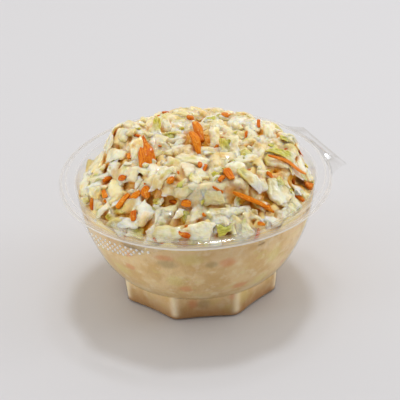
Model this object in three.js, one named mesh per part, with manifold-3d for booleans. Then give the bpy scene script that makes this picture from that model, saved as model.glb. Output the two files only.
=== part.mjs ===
// Coleslaw heaped in its clear moulded bowl, in millimetres, +Z up.
// The origin is the middle of the foot's underside, and the rim's pull tab points along +X.
import * as THREE from 'three';
import { mergeVertices } from 'three/addons/utils/BufferGeometryUtils.js';
import Module from 'manifold-3d';

const wasm = await Module();
wasm.setup();

// ---------------------------------------------------------------- driving dimensions
const SIDES = 40; // facets round the bowl and the packed salad, a multiple of the foot's sides
const WALL = 0.8; // thickness of the moulded sheet
const CLEARANCE = 0.3; // between the sheet and what it holds

const RIM_RADIUS = 70; // outer edge of the rim
const RIM_EDGE_Z = 60.85; // underside of that edge
const RIM_EDGE_HEIGHT = 1.2; // upright outer edge
const BEAD_RADIUS = 66.5; // highest ring of the rim
const BEAD_Z = 63.9;
const MOUTH_RADIUS = 61.6; // where the wall turns out into the rim
const MOUTH_Z = 62.5;

const FOOT_BOTTOM_RADIUS = 42.6; // to the ridges of the eight-sided foot
const FOOT_TOP_RADIUS = 44.2;
const FOOT_HEIGHT = 15.8;
const FOOT_SIDES = 8;
const FOOT_FLUTE = 1.2; // how far each side dips in
const FOOT_EDGE = 0.8; // rounding of the lower edge

// Outside of the round bowl, from its underside up to the mouth, as radius and height.
const UNDERSIDE = [[36, 14.4], [41, 14.9]];
const WALL_CURVE = [
  [44.2, 15.8], [46.8, 18.6], [50.5, 23.8], [54.4, 31.5], [58.3, 42], [60.4, 52], [61.6, 61.3],
];
const WALL_STEPS = 8;

const TAB_REACH = 73.5; // the pull tab's straight edge
const TAB_TIP_Y = -26.8;
const TAB_FAR_Y = 17.6;
const TAB_ROOT_RADIUS = 69.3;
const TAB_ROOT_ANGLES = [-27.7, 20]; // degrees

const SKIRT_BAND = 0.85; // the grip skirt under the rim
const SKIRT_LOW_Z = 53.2;
const SKIRT_ANGLES = [188, 198, 213, 230.6]; // starts, full depth, full depth, ends

const WALL_LEVEL = 56.5; // where the salad meets the wall
const HEAP_RADIUS = 59;
const SHOULDER_RISE = 13.5; // from the wall up to the shoulder
const SHOULDER_POWER = 4.8;
const MOUND_RISE = 8; // from the shoulder up to the top
const MOUND_RADIUS = 52;
const MOUND_LEAN = 9.4; // the mound reaches further to one side
const MOUND_LEAN_ANGLE = 31.8; // degrees
const MOUND_SLOPE = 8; // width of its flank
const CROWN_RISE = 0.8;
const HUMPS = [[133, 37.5, 8, 11], [344, 53.5, 7.5, 6.6]]; // polar place, rise and width
const HEAP_RINGS = [59.2, 56.5, 52.5, 48, 43, 37.5, 31, 23, 13]; // radii of the heap's facets
const CORE_DEPTH = 0.7; // the packed salad stays this far below the heap's even form
const LUMP_WAVES = [[12, 21], [74, 15], [118, 24], [161, 13.5]]; // heading in degrees, length
const LUMP_HEIGHT = 0.6; // of each wave

const DEG = Math.PI / 180;

// ---------------------------------------------------------------- solids and booleans

/** A manifold solid of a closed geometry, with shared vertices merged. */
function solid(geometry) {
  const bare = geometry.clone();
  bare.deleteAttribute('normal');
  bare.deleteAttribute('uv');
  const merged = mergeVertices(bare, 1e-4);
  const corners = merged.index.array;
  const kept = [];
  for (let i = 0; i < corners.length; i += 3) {
    const [a, b, c] = [corners[i], corners[i + 1], corners[i + 2]];
    if (a !== b && b !== c && c !== a) {
      kept.push(a, b, c);
    }
  }
  return new wasm.Manifold(new wasm.Mesh({
    numProp: 3,
    vertProperties: new Float32Array(merged.attributes.position.array),
    triVerts: new Uint32Array(kept),
  }));
}

/** The geometry of a manifold solid. */
function geometryOf(body) {
  const mesh = body.getMesh();
  const geometry = new THREE.BufferGeometry();
  geometry.setAttribute('position', new THREE.BufferAttribute(new Float32Array(mesh.vertProperties), 3));
  geometry.setIndex(new THREE.BufferAttribute(new Uint32Array(mesh.triVerts), 1));
  geometry.computeVertexNormals();
  return geometry;
}

/** A closed skin through rings of equally many points, with a fan over each end. */
function loft(rings) {
  const count = rings[0].length;
  const points = rings.flat();
  const first = points.length;
  for (const ring of [rings[0], rings.at(-1)]) {
    const middle = new THREE.Vector3();
    ring.forEach((point) => middle.addScaledVector(point, 1 / count));
    points.push(middle);
  }
  const faces = [];
  for (let k = 0; k < count; k += 1) {
    const next = (k + 1) % count;
    for (let ring = 0; ring < rings.length - 1; ring += 1) {
      const low = ring * count;
      const high = low + count;
      faces.push(low + k, low + next, high + next, low + k, high + next, high + k);
    }
    const top = (rings.length - 1) * count;
    faces.push(first, next, k, first + 1, top + k, top + next);
  }
  const geometry = new THREE.BufferGeometry();
  geometry.setFromPoints(points);
  geometry.setIndex(faces);
  return geometry;
}

/** A ring round the axis, with its radius and height as functions of the angle. */
function polarRing(radius, height) {
  const ring = [];
  for (let k = 0; k < SIDES; k += 1) {
    const angle = (2 * Math.PI * k) / SIDES;
    const r = radius(angle);
    ring.push(new THREE.Vector3(r * Math.cos(angle), r * Math.sin(angle), height(angle)));
  }
  return ring;
}

/** A solid of revolution about +Z from [radius, height] points that start and end on the axis. */
function revolved(points) {
  const profile = points.map(([r, z]) => new THREE.Vector2(r, z));
  return solid(new THREE.LatheGeometry(profile, SIDES).rotateX(Math.PI / 2).rotateZ(Math.PI / 2));
}

/** A profile moved inwards, at right angles to itself. */
function inset(points, distance) {
  return points.map(([r, z], i) => {
    const [r0, z0] = points[Math.max(i - 1, 0)];
    const [r1, z1] = points[Math.min(i + 1, points.length - 1)];
    const length = Math.hypot(r1 - r0, z1 - z0);
    return [r - (distance * (z1 - z0)) / length, z + (distance * (r1 - r0)) / length];
  });
}

// ---------------------------------------------------------------- the bowl

/** The outside of the round bowl as [radius, height] points. */
function bowlOutside() {
  const curve = new THREE.SplineCurve(WALL_CURVE.map(([r, z]) => new THREE.Vector2(r, z)));
  return [...UNDERSIDE, ...curve.getPoints(WALL_STEPS).map((point) => [point.x, point.y])];
}

/** Radius of the fluted eight-sided foot at an angle, by the share of its height. */
function footRadius(angle, share, inwards) {
  const half = Math.PI / FOOT_SIDES;
  const ridge = FOOT_BOTTOM_RADIUS + (FOOT_TOP_RADIUS - FOOT_BOTTOM_RADIUS) * share - inwards;
  const turn = ((angle % (2 * half)) + 2 * half) % (2 * half);
  const fromMiddle = Math.abs(turn - half);
  const flute = FOOT_FLUTE * (1 - (fromMiddle / half) ** 2);
  return (ridge * Math.cos(half)) / Math.cos(fromMiddle) - flute;
}

/** The foot as a prism from low to high, set inwards by a distance. */
function footPrism(low, high, inwards, edge) {
  const ring = (z, extra) => {
    const radius = (angle) => footRadius(angle, z / FOOT_HEIGHT, inwards + extra);
    return polarRing(radius, () => z);
  };
  return solid(loft([ring(low, edge), ring(low + edge, 0), ring(high, 0)]));
}

/** The pull tab: a flat tongue with a straight edge and two hollow flanks. */
function pullTab() {
  const [low, high] = TAB_ROOT_ANGLES.map((angle) => angle * DEG);
  const outline = new THREE.Shape();
  const root = (angle) => [RIM_RADIUS * Math.cos(angle), RIM_RADIUS * Math.sin(angle)];
  outline.moveTo(...root(low));
  outline.quadraticCurveTo(TAB_REACH - 6, TAB_TIP_Y - 0.9, TAB_REACH, TAB_TIP_Y);
  outline.lineTo(TAB_REACH, TAB_FAR_Y);
  outline.quadraticCurveTo(TAB_REACH - 3, TAB_FAR_Y + 2.6, ...root(high));
  outline.absarc(0, 0, TAB_ROOT_RADIUS, high, low, true);
  const tongue = new THREE.ExtrudeGeometry(outline, { depth: WALL, bevelEnabled: false, curveSegments: 8 });
  return solid(tongue.translate(0, 0, RIM_EDGE_Z));
}

/** The grip skirt: a short upright band that hangs from part of the rim's edge. */
function gripSkirt() {
  const [start, deep, shallow, end] = SKIRT_ANGLES;
  const top = RIM_EDGE_Z + RIM_EDGE_HEIGHT / 2;
  const step = 360 / SIDES / 2;
  const sections = [];
  for (let angle = start; angle <= end + 0.01; angle += step) {
    const ease = Math.min((angle - start) / (deep - start), (end - angle) / (end - shallow), 1);
    const bottom = RIM_EDGE_Z - 0.1 + (SKIRT_LOW_Z - RIM_EDGE_Z) * Math.max(ease, 0);
    const [x, y] = [Math.cos(angle * DEG), Math.sin(angle * DEG)];
    const corner = (r, z) => new THREE.Vector3(r * x, r * y, z);
    const [inner, outer] = [RIM_RADIUS - SKIRT_BAND, RIM_RADIUS - 0.05];
    sections.push([corner(inner, bottom), corner(outer, bottom), corner(outer, top), corner(inner, top)]);
  }
  return solid(loft(sections.reverse()));
}

/** The clear bowl: fluted foot, round wall, stepped rim, pull tab and grip skirt, all one sheet. */
function bowl() {
  const edgeTop = RIM_EDGE_Z + RIM_EDGE_HEIGHT;
  const shell = revolved([
    [0, UNDERSIDE[0][1]],
    ...bowlOutside(),
    [BEAD_RADIUS - 0.2, BEAD_Z - WALL],
    [RIM_RADIUS - WALL - 0.2, edgeTop - WALL],
    [RIM_RADIUS - WALL, RIM_EDGE_Z],
    [RIM_RADIUS, RIM_EDGE_Z],
    [RIM_RADIUS, edgeTop],
    [BEAD_RADIUS + 0.6, BEAD_Z - 0.15],
    [BEAD_RADIUS - 0.4, BEAD_Z],
    [MOUTH_RADIUS, MOUTH_Z],
    [0, MOUTH_Z],
  ]);
  const inside = inset(bowlOutside(), WALL);
  const hollow = revolved([
    [0, inside[0][1]],
    ...inside,
    [inside.at(-1)[0], MOUTH_Z + 5],
    [0, MOUTH_Z + 5],
  ]);
  const foot = footPrism(0, FOOT_HEIGHT + 1, 0, FOOT_EDGE);
  const footHollow = footPrism(WALL, FOOT_HEIGHT + 1.5, WALL, 0.1);
  return shell.add(foot).add(pullTab()).add(gripSkirt()).subtract(hollow).subtract(footHollow);
}

// ---------------------------------------------------------------- the heap of salad

/** Even, repeatable draws from 0 to 1. */
class Dice {
  constructor(seed) {
    this.state = seed >>> 0;
  }

  next() {
    this.state = (Math.imul(this.state, 1664525) + 1013904223) >>> 0;
    return this.state / 4294967296;
  }

  between(low, high) {
    return low + (high - low) * this.next();
  }
}

function smooth(share) {
  const t = Math.min(Math.max(share, 0), 1);
  return t * t * (3 - 2 * t);
}

/** Height of the heap's even form at a radius and an angle. */
function heapHeight(radius, angle) {
  const out = Math.min(radius / HEAP_RADIUS, 1);
  const mound = MOUND_RADIUS + MOUND_LEAN * Math.cos(angle - MOUND_LEAN_ANGLE * DEG);
  let height = WALL_LEVEL
    + SHOULDER_RISE * (1 - out ** SHOULDER_POWER)
    + MOUND_RISE * smooth((mound - radius) / MOUND_SLOPE)
    + CROWN_RISE * (1 - out ** 2);
  for (const [turn, reach, rise, width] of HUMPS) {
    const across = Math.sin((angle - turn * DEG) / 2) ** 2;
    const apart = (radius - reach) ** 2 + 4 * radius * reach * across;
    height += rise * Math.exp(-apart / width ** 2) * (1 - out ** 8);
  }
  return height;
}

/** Direction straight out of the heap's even form. */
function heapNormal(x, y) {
  const step = 0.5;
  const at = (u, v) => heapHeight(Math.hypot(u, v), Math.atan2(v, u));
  const slopeX = (at(x + step, y) - at(x - step, y)) / (2 * step);
  const slopeY = (at(x, y + step) - at(x, y - step)) / (2 * step);
  return new THREE.Vector3(-slopeX, -slopeY, 1).normalize();
}

/** Unevenness of the packed salad: a few crossing waves. */
function lumps(x, y) {
  let sum = 0;
  for (const [heading, length] of LUMP_WAVES) {
    const run = x * Math.cos(heading * DEG) + y * Math.sin(heading * DEG);
    sum += LUMP_HEIGHT * Math.sin((2 * Math.PI * run) / length + heading);
  }
  return sum;
}

/** Packed salad inside the bowl, up to the heap's lumpy skin. */
function packedCore() {
  const gap = WALL + CLEARANCE;
  const foot = (z) => polarRing((angle) => footRadius(angle, z / FOOT_HEIGHT, gap), () => z);
  const rings = [foot(gap), foot(FOOT_HEIGHT + 0.1)];
  for (const [r, z] of inset(bowlOutside(), gap).slice(UNDERSIDE.length)) {
    if (z > FOOT_HEIGHT + 0.4 && z < WALL_LEVEL - 2) {
      rings.push(polarRing(() => r, () => z));
    }
  }
  for (const radius of HEAP_RINGS) {
    const height = (angle) => {
      const lump = lumps(radius * Math.cos(angle), radius * Math.sin(angle));
      return heapHeight(radius, angle) - CORE_DEPTH + lump;
    };
    rings.push(polarRing(() => radius, height));
  }
  return solid(loft(rings));
}

/** A thin wavy leaf, its two faces split alike into cells, along X with its width along Y. */
function leaf({ length, width, thick, curl, wave, phase }, along = 2, across = 1) {
  const point = (i, j, side) => {
    const u = (2 * i) / along - 1;
    const v = (2 * j) / across - 1;
    const ragged = 0.8 + 0.2 * Math.sin(5 * u + phase) - 0.25 * Math.abs(u) ** 3;
    const x = (length / 2) * u * (1 - 0.18 * Math.abs(v) ** 2 + 0.1 * Math.sin(4 * v + phase));
    const y = (width / 2) * v * ragged;
    const lift = curl * (u * u - 0.4) + 0.6 * curl * v * v + wave * Math.sin(3 * u + 2.2 * v + phase);
    return new THREE.Vector3(x, y, lift + (side * thick) / 2);
  };
  const points = [];
  for (const side of [-1, 1]) {
    for (let i = 0; i <= along; i += 1) {
      for (let j = 0; j <= across; j += 1) {
        points.push(point(i, j, side));
      }
    }
  }
  const sheet = (along + 1) * (across + 1);
  const index = (i, j) => i * (across + 1) + j;
  const faces = [];
  for (let i = 0; i < along; i += 1) {
    for (let j = 0; j < across; j += 1) {
      const [a, b, c, d] = [index(i, j), index(i + 1, j), index(i + 1, j + 1), index(i, j + 1)];
      faces.push(a, c, b, a, d, c, sheet + a, sheet + b, sheet + c, sheet + a, sheet + c, sheet + d);
    }
  }
  const border = [];
  for (let i = 0; i < along; i += 1) {
    border.push(index(i, 0));
  }
  for (let j = 0; j < across; j += 1) {
    border.push(index(along, j));
  }
  for (let i = along; i > 0; i -= 1) {
    border.push(index(i, across));
  }
  for (let j = across; j > 0; j -= 1) {
    border.push(index(0, j));
  }
  border.forEach((a, k) => {
    const b = border[(k + 1) % border.length];
    faces.push(a, b, sheet + b, a, sheet + b, sheet + a);
  });
  const geometry = new THREE.BufferGeometry();
  geometry.setFromPoints(points);
  geometry.setIndex(faces);
  return geometry;
}

/** A strip of carrot along X: a bent four-sided bar that narrows at its ends. */
function strip({ length, width, thick, curl, phase }, steps = 2) {
  const rings = [];
  for (let i = 0; i <= steps; i += 1) {
    const u = (2 * i) / steps - 1;
    const slim = 1 - 0.35 * u * u;
    const sway = 0.036 * length * Math.sin(2 * u + phase);
    const lift = curl * (u * u - 0.3);
    const [w, t] = [(width / 2) * slim, (thick / 2) * slim];
    const corner = (y, z) => new THREE.Vector3((length / 2) * u, sway + y, lift + z);
    rings.push([corner(-w, -t), corner(w, -t), corner(w, t), corner(-w, t)]);
  }
  return loft(rings);
}

/** Sets a piece on the heap at a polar place, turned by yaw, with its nose raised by pitch. */
function placed(geometry, { angle, radius, yaw, pitch = 0, roll = 0, lift = 0.5 }) {
  const [x, y] = [radius * Math.cos(angle * DEG), radius * Math.sin(angle * DEG)];
  const up = heapNormal(x, y);
  const along = new THREE.Vector3(Math.cos(yaw * DEG), Math.sin(yaw * DEG), 0);
  along.addScaledVector(up, -along.dot(up)).normalize();
  const side = new THREE.Vector3().crossVectors(up, along);
  const turn = new THREE.Matrix4().makeBasis(along, side, up);
  turn.multiply(new THREE.Matrix4().makeRotationY(-pitch * DEG));
  turn.multiply(new THREE.Matrix4().makeRotationX(roll * DEG));
  const height = heapHeight(radius, angle * DEG) + lift * up.z;
  turn.setPosition(x + lift * up.x, y + lift * up.y, height);
  return geometry.applyMatrix4(turn);
}

// Large pieces that give the heap its look. Each row is the polar place (degrees, mm), the yaw and
// pitch in degrees, then length and width.
const WHITE_LEAVES = [
  [166, 29.6, 62, 25, 17, 6], [158, 38, 130, 0, 10, 8], [179, 44.9, 72, 0, 14, 10],
  [157, 56, 64, 0, 18, 5], [170, 52.4, 103, 0, 10, 7], [214, 34, 31, 0, 15, 6.5],
  [234, 37.8, 159, 0, 9.5, 6], [256, 40.9, 157, 0, 10, 8], [264, 46.9, 174, 0, 22, 5.5],
  [268, 55.8, 92, 0, 10, 7], [237, 53.8, 148, 0, 28, 9], [211, 47.8, 85, 0, 12, 9],
  [206, 54.4, 126, 0, 12, 6], [303, 30.3, 178, 0, 15, 8], [350, 11, 68, 35, 13, 6],
  [323, 19.8, 68, 35, 11, 6.5], [100, 25.6, 68, 35, 11, 6], [74, 36, 153, 0, 11, 5],
  [8, 40, 38, 10, 13, 7], [350, 39.4, 66, 30, 12, 6], [334, 57, 94, 0, 11, 6],
  [298, 48.2, 132, 0, 15, 10], [285, 40.4, 122, 0, 15, 5.5], [297, 56.5, 17, 0, 11, 6],
  [238, 15.7, 138, 0, 18, 8], [248, 27.3, 79, 0, 10, 7],
];
const GREEN_LEAVES = [
  [118, 24.7, 61, 30, 15, 5.5], [317, 16.4, 64, 35, 9, 6], [159, 49.4, 127, 0, 12, 6],
  [325, 43.4, 155, 0, 17, 8],
];
const CARROTS = [
  [169, 25.8, 73, 25, 21, 8.5], [257, 1.1, 82, 30, 14, 3.2], [50, 9.5, 83, 30, 13, 4.2],
  [273, 33.9, 88, 0, 9, 4], [280, 46.2, 151, 0, 24, 2.2], [319, 45.8, 170, 0, 24, 2.2],
  [324, 57, 176, 0, 6, 4], [194, 47.2, 14, 0, 10, 3.1],
];
const FILL_COUNT = 140; // further pieces, by rule
const FILL_SPREAD = 57;
const FILL_GAP = 5; // least distance to a large piece's middle
const STRIP_SHARE = 0.22; // of the further pieces that are carrot
const LEAF_LIFT = 0.6; // middle of a large leaf over the heap's even form
const STRIP_LIFT = 0.7;
const GOLDEN_ANGLE = 137.508;

/** Sizes and finish of one piece, with its small variations drawn. */
function pieceSize(length, width, dice) {
  return {
    length,
    width,
    thick: dice.between(1.2, 2.4),
    curl: dice.between(-0.12, 0.16) * length,
    wave: dice.between(0.2, 0.7),
    phase: dice.between(0, 2 * Math.PI),
  };
}

/** The large pieces, in the order of the lists above. */
function largePieces(dice) {
  const made = [];
  for (const [rows, shape] of [[WHITE_LEAVES, leaf], [GREEN_LEAVES, leaf], [CARROTS, strip]]) {
    for (const [angle, radius, yaw, pitch, length, width] of rows) {
      const size = pieceSize(length, width, dice);
      const roll = dice.between(-14, 14);
      const body = length > 13 ? shape(size, 4) : shape(size);
      const lift = shape === leaf ? LEAF_LIFT : STRIP_LIFT;
      made.push({ body: placed(body, { angle, radius, yaw, pitch, roll, lift }), angle, radius });
    }
  }
  return made;
}

/** Smaller pieces over the rest of the heap, on a golden-angle spiral. */
function fillPieces(dice, large) {
  const made = [];
  for (let i = 0; i < FILL_COUNT; i += 1) {
    const radius = FILL_SPREAD * Math.sqrt((i + 0.5) / FILL_COUNT);
    const angle = (i * GOLDEN_ANGLE) % 360;
    const isStrip = dice.next() < STRIP_SHARE;
    const length = dice.between(7, 14);
    const width = isStrip ? dice.between(1.8, 3.2) : dice.between(4.5, 9);
    const size = pieceSize(length, width, dice);
    const place = {
      angle,
      radius,
      yaw: dice.between(0, 360),
      pitch: dice.between(-30, 30),
      roll: dice.between(-30, 30),
      lift: dice.between(-0.4, 0.8),
    };
    const apart = (other) => {
      const turn = (other.angle - angle) * DEG;
      return Math.hypot(other.radius - radius * Math.cos(turn), radius * Math.sin(turn));
    };
    if (large.every((other) => apart(other) > FILL_GAP)) {
      made.push({ body: placed(isStrip ? strip(size) : leaf(size), place), angle, radius });
    }
  }
  return made;
}

/** The room the salad may take: inside the wall, and over the rim only where it stands clear of it. */
function room() {
  const gap = WALL + CLEARANCE;
  const side = inset(bowlOutside(), gap);
  const overRim = BEAD_Z + CLEARANCE;
  const below = revolved([
    [0, side[0][1]],
    ...side,
    [side.at(-1)[0], overRim],
    [BEAD_RADIUS, overRim],
    [BEAD_RADIUS, overRim + 40],
    [0, overRim + 40],
  ]);
  return below.add(footPrism(gap, FOOT_HEIGHT + 1, gap, 0.1));
}

/** The largest body of a solid, without loose scraps. */
function wholeBody(body) {
  return body.decompose().reduce((best, each) => (each.volume() > best.volume() ? each : best));
}

/** The heap: packed salad with the pieces that show fused on. */
function coleslaw() {
  const dice = new Dice(20);
  const large = largePieces(dice);
  const pieces = [...large, ...fillPieces(dice, large)].map((piece) => solid(piece.body));
  const heap = wasm.Manifold.union([packedCore(), ...pieces]);
  return wholeBody(heap.intersect(room()));
}

// ---------------------------------------------------------------- the object

const clearPlastic = new THREE.MeshStandardMaterial({
  color: 0xe9ecec,
  roughness: 0.06,
  metalness: 0,
  transparent: true,
  opacity: 0.3,
});
const dressedCabbage = new THREE.MeshStandardMaterial({ color: 0xeadfbe, roughness: 0.35, metalness: 0 });

const model = new THREE.Group();
for (const [name, body, material] of [
  ['bowl', bowl(), clearPlastic],
  ['coleslaw', coleslaw(), dressedCabbage],
]) {
  const mesh = new THREE.Mesh(geometryOf(body), material);
  mesh.name = name;
  model.add(mesh);
}

export default model;
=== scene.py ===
"""Coleslaw heaped in its clear moulded bowl, dressed for rendering.

Sizes are in millimetres and become metres as each mesh is made. +Z is up, the origin is the middle of
the foot's underside, and the rim's pull tab points along +X.
"""

import logging
import math
from collections.abc import Callable
from dataclasses import dataclass, replace
from enum import Enum
from typing import Any, ClassVar, Union

import bpy
import numpy as np
from mathutils import Matrix, Vector
from mathutils.kdtree import KDTree


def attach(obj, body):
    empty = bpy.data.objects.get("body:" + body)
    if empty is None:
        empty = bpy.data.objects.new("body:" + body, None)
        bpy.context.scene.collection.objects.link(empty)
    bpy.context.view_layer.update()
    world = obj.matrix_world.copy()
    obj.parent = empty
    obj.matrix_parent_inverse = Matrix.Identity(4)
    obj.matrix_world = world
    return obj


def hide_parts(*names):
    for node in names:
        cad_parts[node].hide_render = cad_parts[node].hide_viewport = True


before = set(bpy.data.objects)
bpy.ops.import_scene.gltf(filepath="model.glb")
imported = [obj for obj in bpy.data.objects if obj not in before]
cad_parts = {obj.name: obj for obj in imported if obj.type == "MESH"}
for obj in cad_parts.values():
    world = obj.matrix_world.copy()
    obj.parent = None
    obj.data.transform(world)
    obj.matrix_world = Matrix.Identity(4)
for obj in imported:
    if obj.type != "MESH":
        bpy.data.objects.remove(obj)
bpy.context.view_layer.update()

LOG = logging.getLogger("coleslaw")
MM = 0.001
DEG = math.pi / 180
BODY = "root"
SIDES = 320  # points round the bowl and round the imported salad
CLEAR_BOUNCES = 24  # sheets of clear plastic that light may pass

Colour = tuple[float, float, float, float]
Number = Union[float, "Value"]
Array = np.ndarray


def srgb(red: int, green: int, blue: int) -> Colour:
    """A linear colour from its 0 to 255 screen values."""

    def linear(level: int) -> float:
        share = level / 255
        return share / 12.92 if share <= 0.04045 else ((share + 0.055) / 1.055) ** 2.4

    return (linear(red), linear(green), linear(blue), 1.0)


def smooth(share: Array) -> Array:
    """Eases a share from 0 to 1, held at both ends."""
    held = np.clip(share, 0, 1)
    return held * held * (3 - 2 * held)


# ---------------------------------------------------------------- node sheets


def operation(name: str, swapped: bool = False) -> Callable[["Value", Number], "Value"]:
    """A method of Value for one of Python's operators.

    Args:
        name: the Math node's operation.
        swapped: puts the other number first.

    Returns:
        The method.
    """

    def method(value: "Value", other: Number) -> "Value":
        return value.maths(name, other, value) if swapped else value.maths(name, value, other)

    return method


class Value:
    """A number that varies over a surface: a socket with Python's operators."""

    def __init__(self, sheet: "NodeSheet", socket: bpy.types.NodeSocket) -> None:
        """Keeps the socket and the sheet that it is on."""
        self.sheet = sheet
        self.socket = socket

    def maths(self, operation: str, first: Number, second: Number, clamp: bool = False) -> "Value":
        """Adds a Math node.

        Args:
            operation: the node's operation.
            first: its first number.
            second: its second number.
            clamp: holds the result between 0 and 1.

        Returns:
            The node's result.
        """
        settings = {"operation": operation, "use_clamp": clamp}
        made = self.sheet.node("ShaderNodeMath", settings, {0: first, 1: second})
        return Value(self.sheet, made.outputs[0])

    __add__ = operation("ADD")
    __radd__ = operation("ADD", swapped=True)
    __sub__ = operation("SUBTRACT")
    __rsub__ = operation("SUBTRACT", swapped=True)
    __mul__ = operation("MULTIPLY")
    __rmul__ = operation("MULTIPLY", swapped=True)
    __pow__ = operation("POWER")

    def held(self) -> "Value":
        """The same number, held between 0 and 1."""
        return self.maths("ADD", self, 0.0, clamp=True)


class NodeSheet:
    """One material and the nodes on it."""

    CLOUD_ROUGHNESS = 0.55

    def __init__(self, name: str) -> None:
        """Starts an empty material."""
        self.material = bpy.data.materials.new(name)
        self.material.use_nodes = True
        self.tree = self.material.node_tree
        self.tree.nodes.clear()

    def node(
        self, kind: str, settings: dict[str, Any] | None = None, inputs: dict[Any, Any] | None = None
    ) -> bpy.types.Node:
        """Adds a node.

        Args:
            kind: the node's type.
            settings: its properties, set first.
            inputs: values or links of its sockets, by name or index.

        Returns:
            The node.
        """
        made = self.tree.nodes.new(kind)
        for key, value in (settings or {}).items():
            setattr(made, key, value)
        for key, value in (inputs or {}).items():
            source = value.socket if isinstance(value, Value) else value
            if isinstance(source, bpy.types.NodeSocket):
                self.tree.links.new(source, made.inputs[key])
            else:
                made.inputs[key].default_value = source
        return made

    def attribute(self, name: str) -> Value:
        """A surface value kept on the mesh."""
        return Value(self, self.node("ShaderNodeAttribute", {"attribute_name": name}).outputs["Fac"])

    def own_place(self) -> bpy.types.NodeSocket:
        """A shred's own coordinates, in millimetres along, across and through it."""
        return self.node("ShaderNodeAttribute", {"attribute_name": "own"}).outputs["Vector"]

    def place(self) -> bpy.types.NodeSocket:
        """Coordinates in the object, in metres."""
        return self.node("ShaderNodeTexCoord").outputs["Object"]

    def noise(self, where: bpy.types.NodeSocket, scale: float, detail: float = 2.0) -> Value:
        """Soft clouds.

        Args:
            where: the coordinates.
            scale: clouds for each unit of them.
            detail: how many finer layers lie on top.

        Returns:
            The clouds' strength, about 0.5.
        """
        inputs = {"Vector": where, "Scale": scale, "Detail": detail, "Roughness": self.CLOUD_ROUGHNESS}
        return Value(self, self.node("ShaderNodeTexNoise", None, inputs).outputs["Fac"])

    def stretched(self, where: bpy.types.NodeSocket, by: tuple[float, float, float]) -> bpy.types.NodeSocket:
        """Coordinates scaled along each axis."""
        made = self.node("ShaderNodeVectorMath", {"operation": "MULTIPLY"}, {0: where, 1: by})
        return made.outputs[0]

    def between(self, value: Value, low: float, high: float) -> Value:
        """Where a value goes from low to high, as 0 to 1 with soft ends."""
        settings = {"interpolation_type": "SMOOTHSTEP"}
        inputs = {"Value": value, "From Min": low, "From Max": high}
        return Value(self, self.node("ShaderNodeMapRange", settings, inputs).outputs[0])

    def blend(self, share: Number, first: Any, second: Any) -> bpy.types.NodeSocket:
        """Two colours mixed by a share of the second."""
        inputs = {0: share, 6: first, 7: second}
        return self.node("ShaderNodeMix", {"data_type": "RGBA"}, inputs).outputs[2]

    def bump(self, height: Value, depth: float, strength: float = 1.0) -> bpy.types.NodeSocket:
        """Relief from a height.

        Args:
            height: the relief, from 0 to 1.
            depth: what a height of 1 measures, in millimetres.
            strength: share of the relief that shows.

        Returns:
            The normal.
        """
        inputs = {"Strength": strength, "Distance": depth * MM, "Height": height}
        return self.node("ShaderNodeBump", None, inputs).outputs[0]

    def mix(self, share: Number, first: bpy.types.Node, second: bpy.types.Node) -> bpy.types.Node:
        """Two shaders mixed by a share of the second."""
        inputs = {0: share, 1: first.outputs[0], 2: second.outputs[0]}
        return self.node("ShaderNodeMixShader", None, inputs)

    def close(self, shader: bpy.types.Node) -> bpy.types.Material:
        """Joins the last shader to the output and gives the material."""
        self.node("ShaderNodeOutputMaterial", None, {"Surface": shader.outputs[0]})
        return self.material


# ---------------------------------------------------------------- finishes


@dataclass(frozen=True)
class ClearPlastic:
    """Thin glossy plastic that is seen and lit straight through, with painted highlights as a pale frost on
    its studs, along its bends and on its cut edge.
    """

    passes: Colour = (0.995, 0.995, 0.993, 1.0)
    edge_passes: Colour = (0.955, 0.95, 0.94, 1.0)
    facing_blend: float = 0.5
    edge_power: float = 4.5
    gloss_roughness: float = 0.04
    straight_gloss: float = 0.04
    glancing_gloss: float = 0.5
    glancing_power: float = 5.0
    painted_highlight_colour: Colour = (0.92, 0.92, 0.91, 1.0)
    painted_highlight_glow: float = 0.5  # share of the painted highlights' pale frost that light passes through

    def material(self) -> bpy.types.Material:
        """The material: clear, greyer where seen along the sheet, with a mirror gloss and a pale frost where
        highlights are painted.
        """
        sheet = NodeSheet("clear_plastic")
        weight = sheet.node("ShaderNodeLayerWeight", None, {"Blend": self.facing_blend})
        facing = Value(sheet, weight.outputs["Facing"])
        clear = sheet.node("ShaderNodeBsdfTransparent", None, {"Color": self.passes})
        edge = sheet.node("ShaderNodeBsdfTransparent", None, {"Color": self.edge_passes})
        through = sheet.mix(facing**self.edge_power, clear, edge)
        gloss = sheet.node("ShaderNodeBsdfGlossy", None, {"Roughness": self.gloss_roughness})
        mirror = facing**self.glancing_power * self.glancing_gloss + self.straight_gloss
        smooth_sheet = sheet.mix(mirror, through, gloss)
        lit = sheet.node("ShaderNodeBsdfDiffuse", None, {"Color": self.painted_highlight_colour})
        glowing = sheet.node("ShaderNodeBsdfTranslucent", None, {"Color": self.painted_highlight_colour})
        painted_highlight = sheet.mix(self.painted_highlight_glow, lit, glowing)
        # painted highlight: a pale diffuse and translucent frost, mixed in by the value kept on the mesh
        return sheet.close(sheet.mix(sheet.attribute("painted_highlight"), smooth_sheet, painted_highlight))


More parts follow.
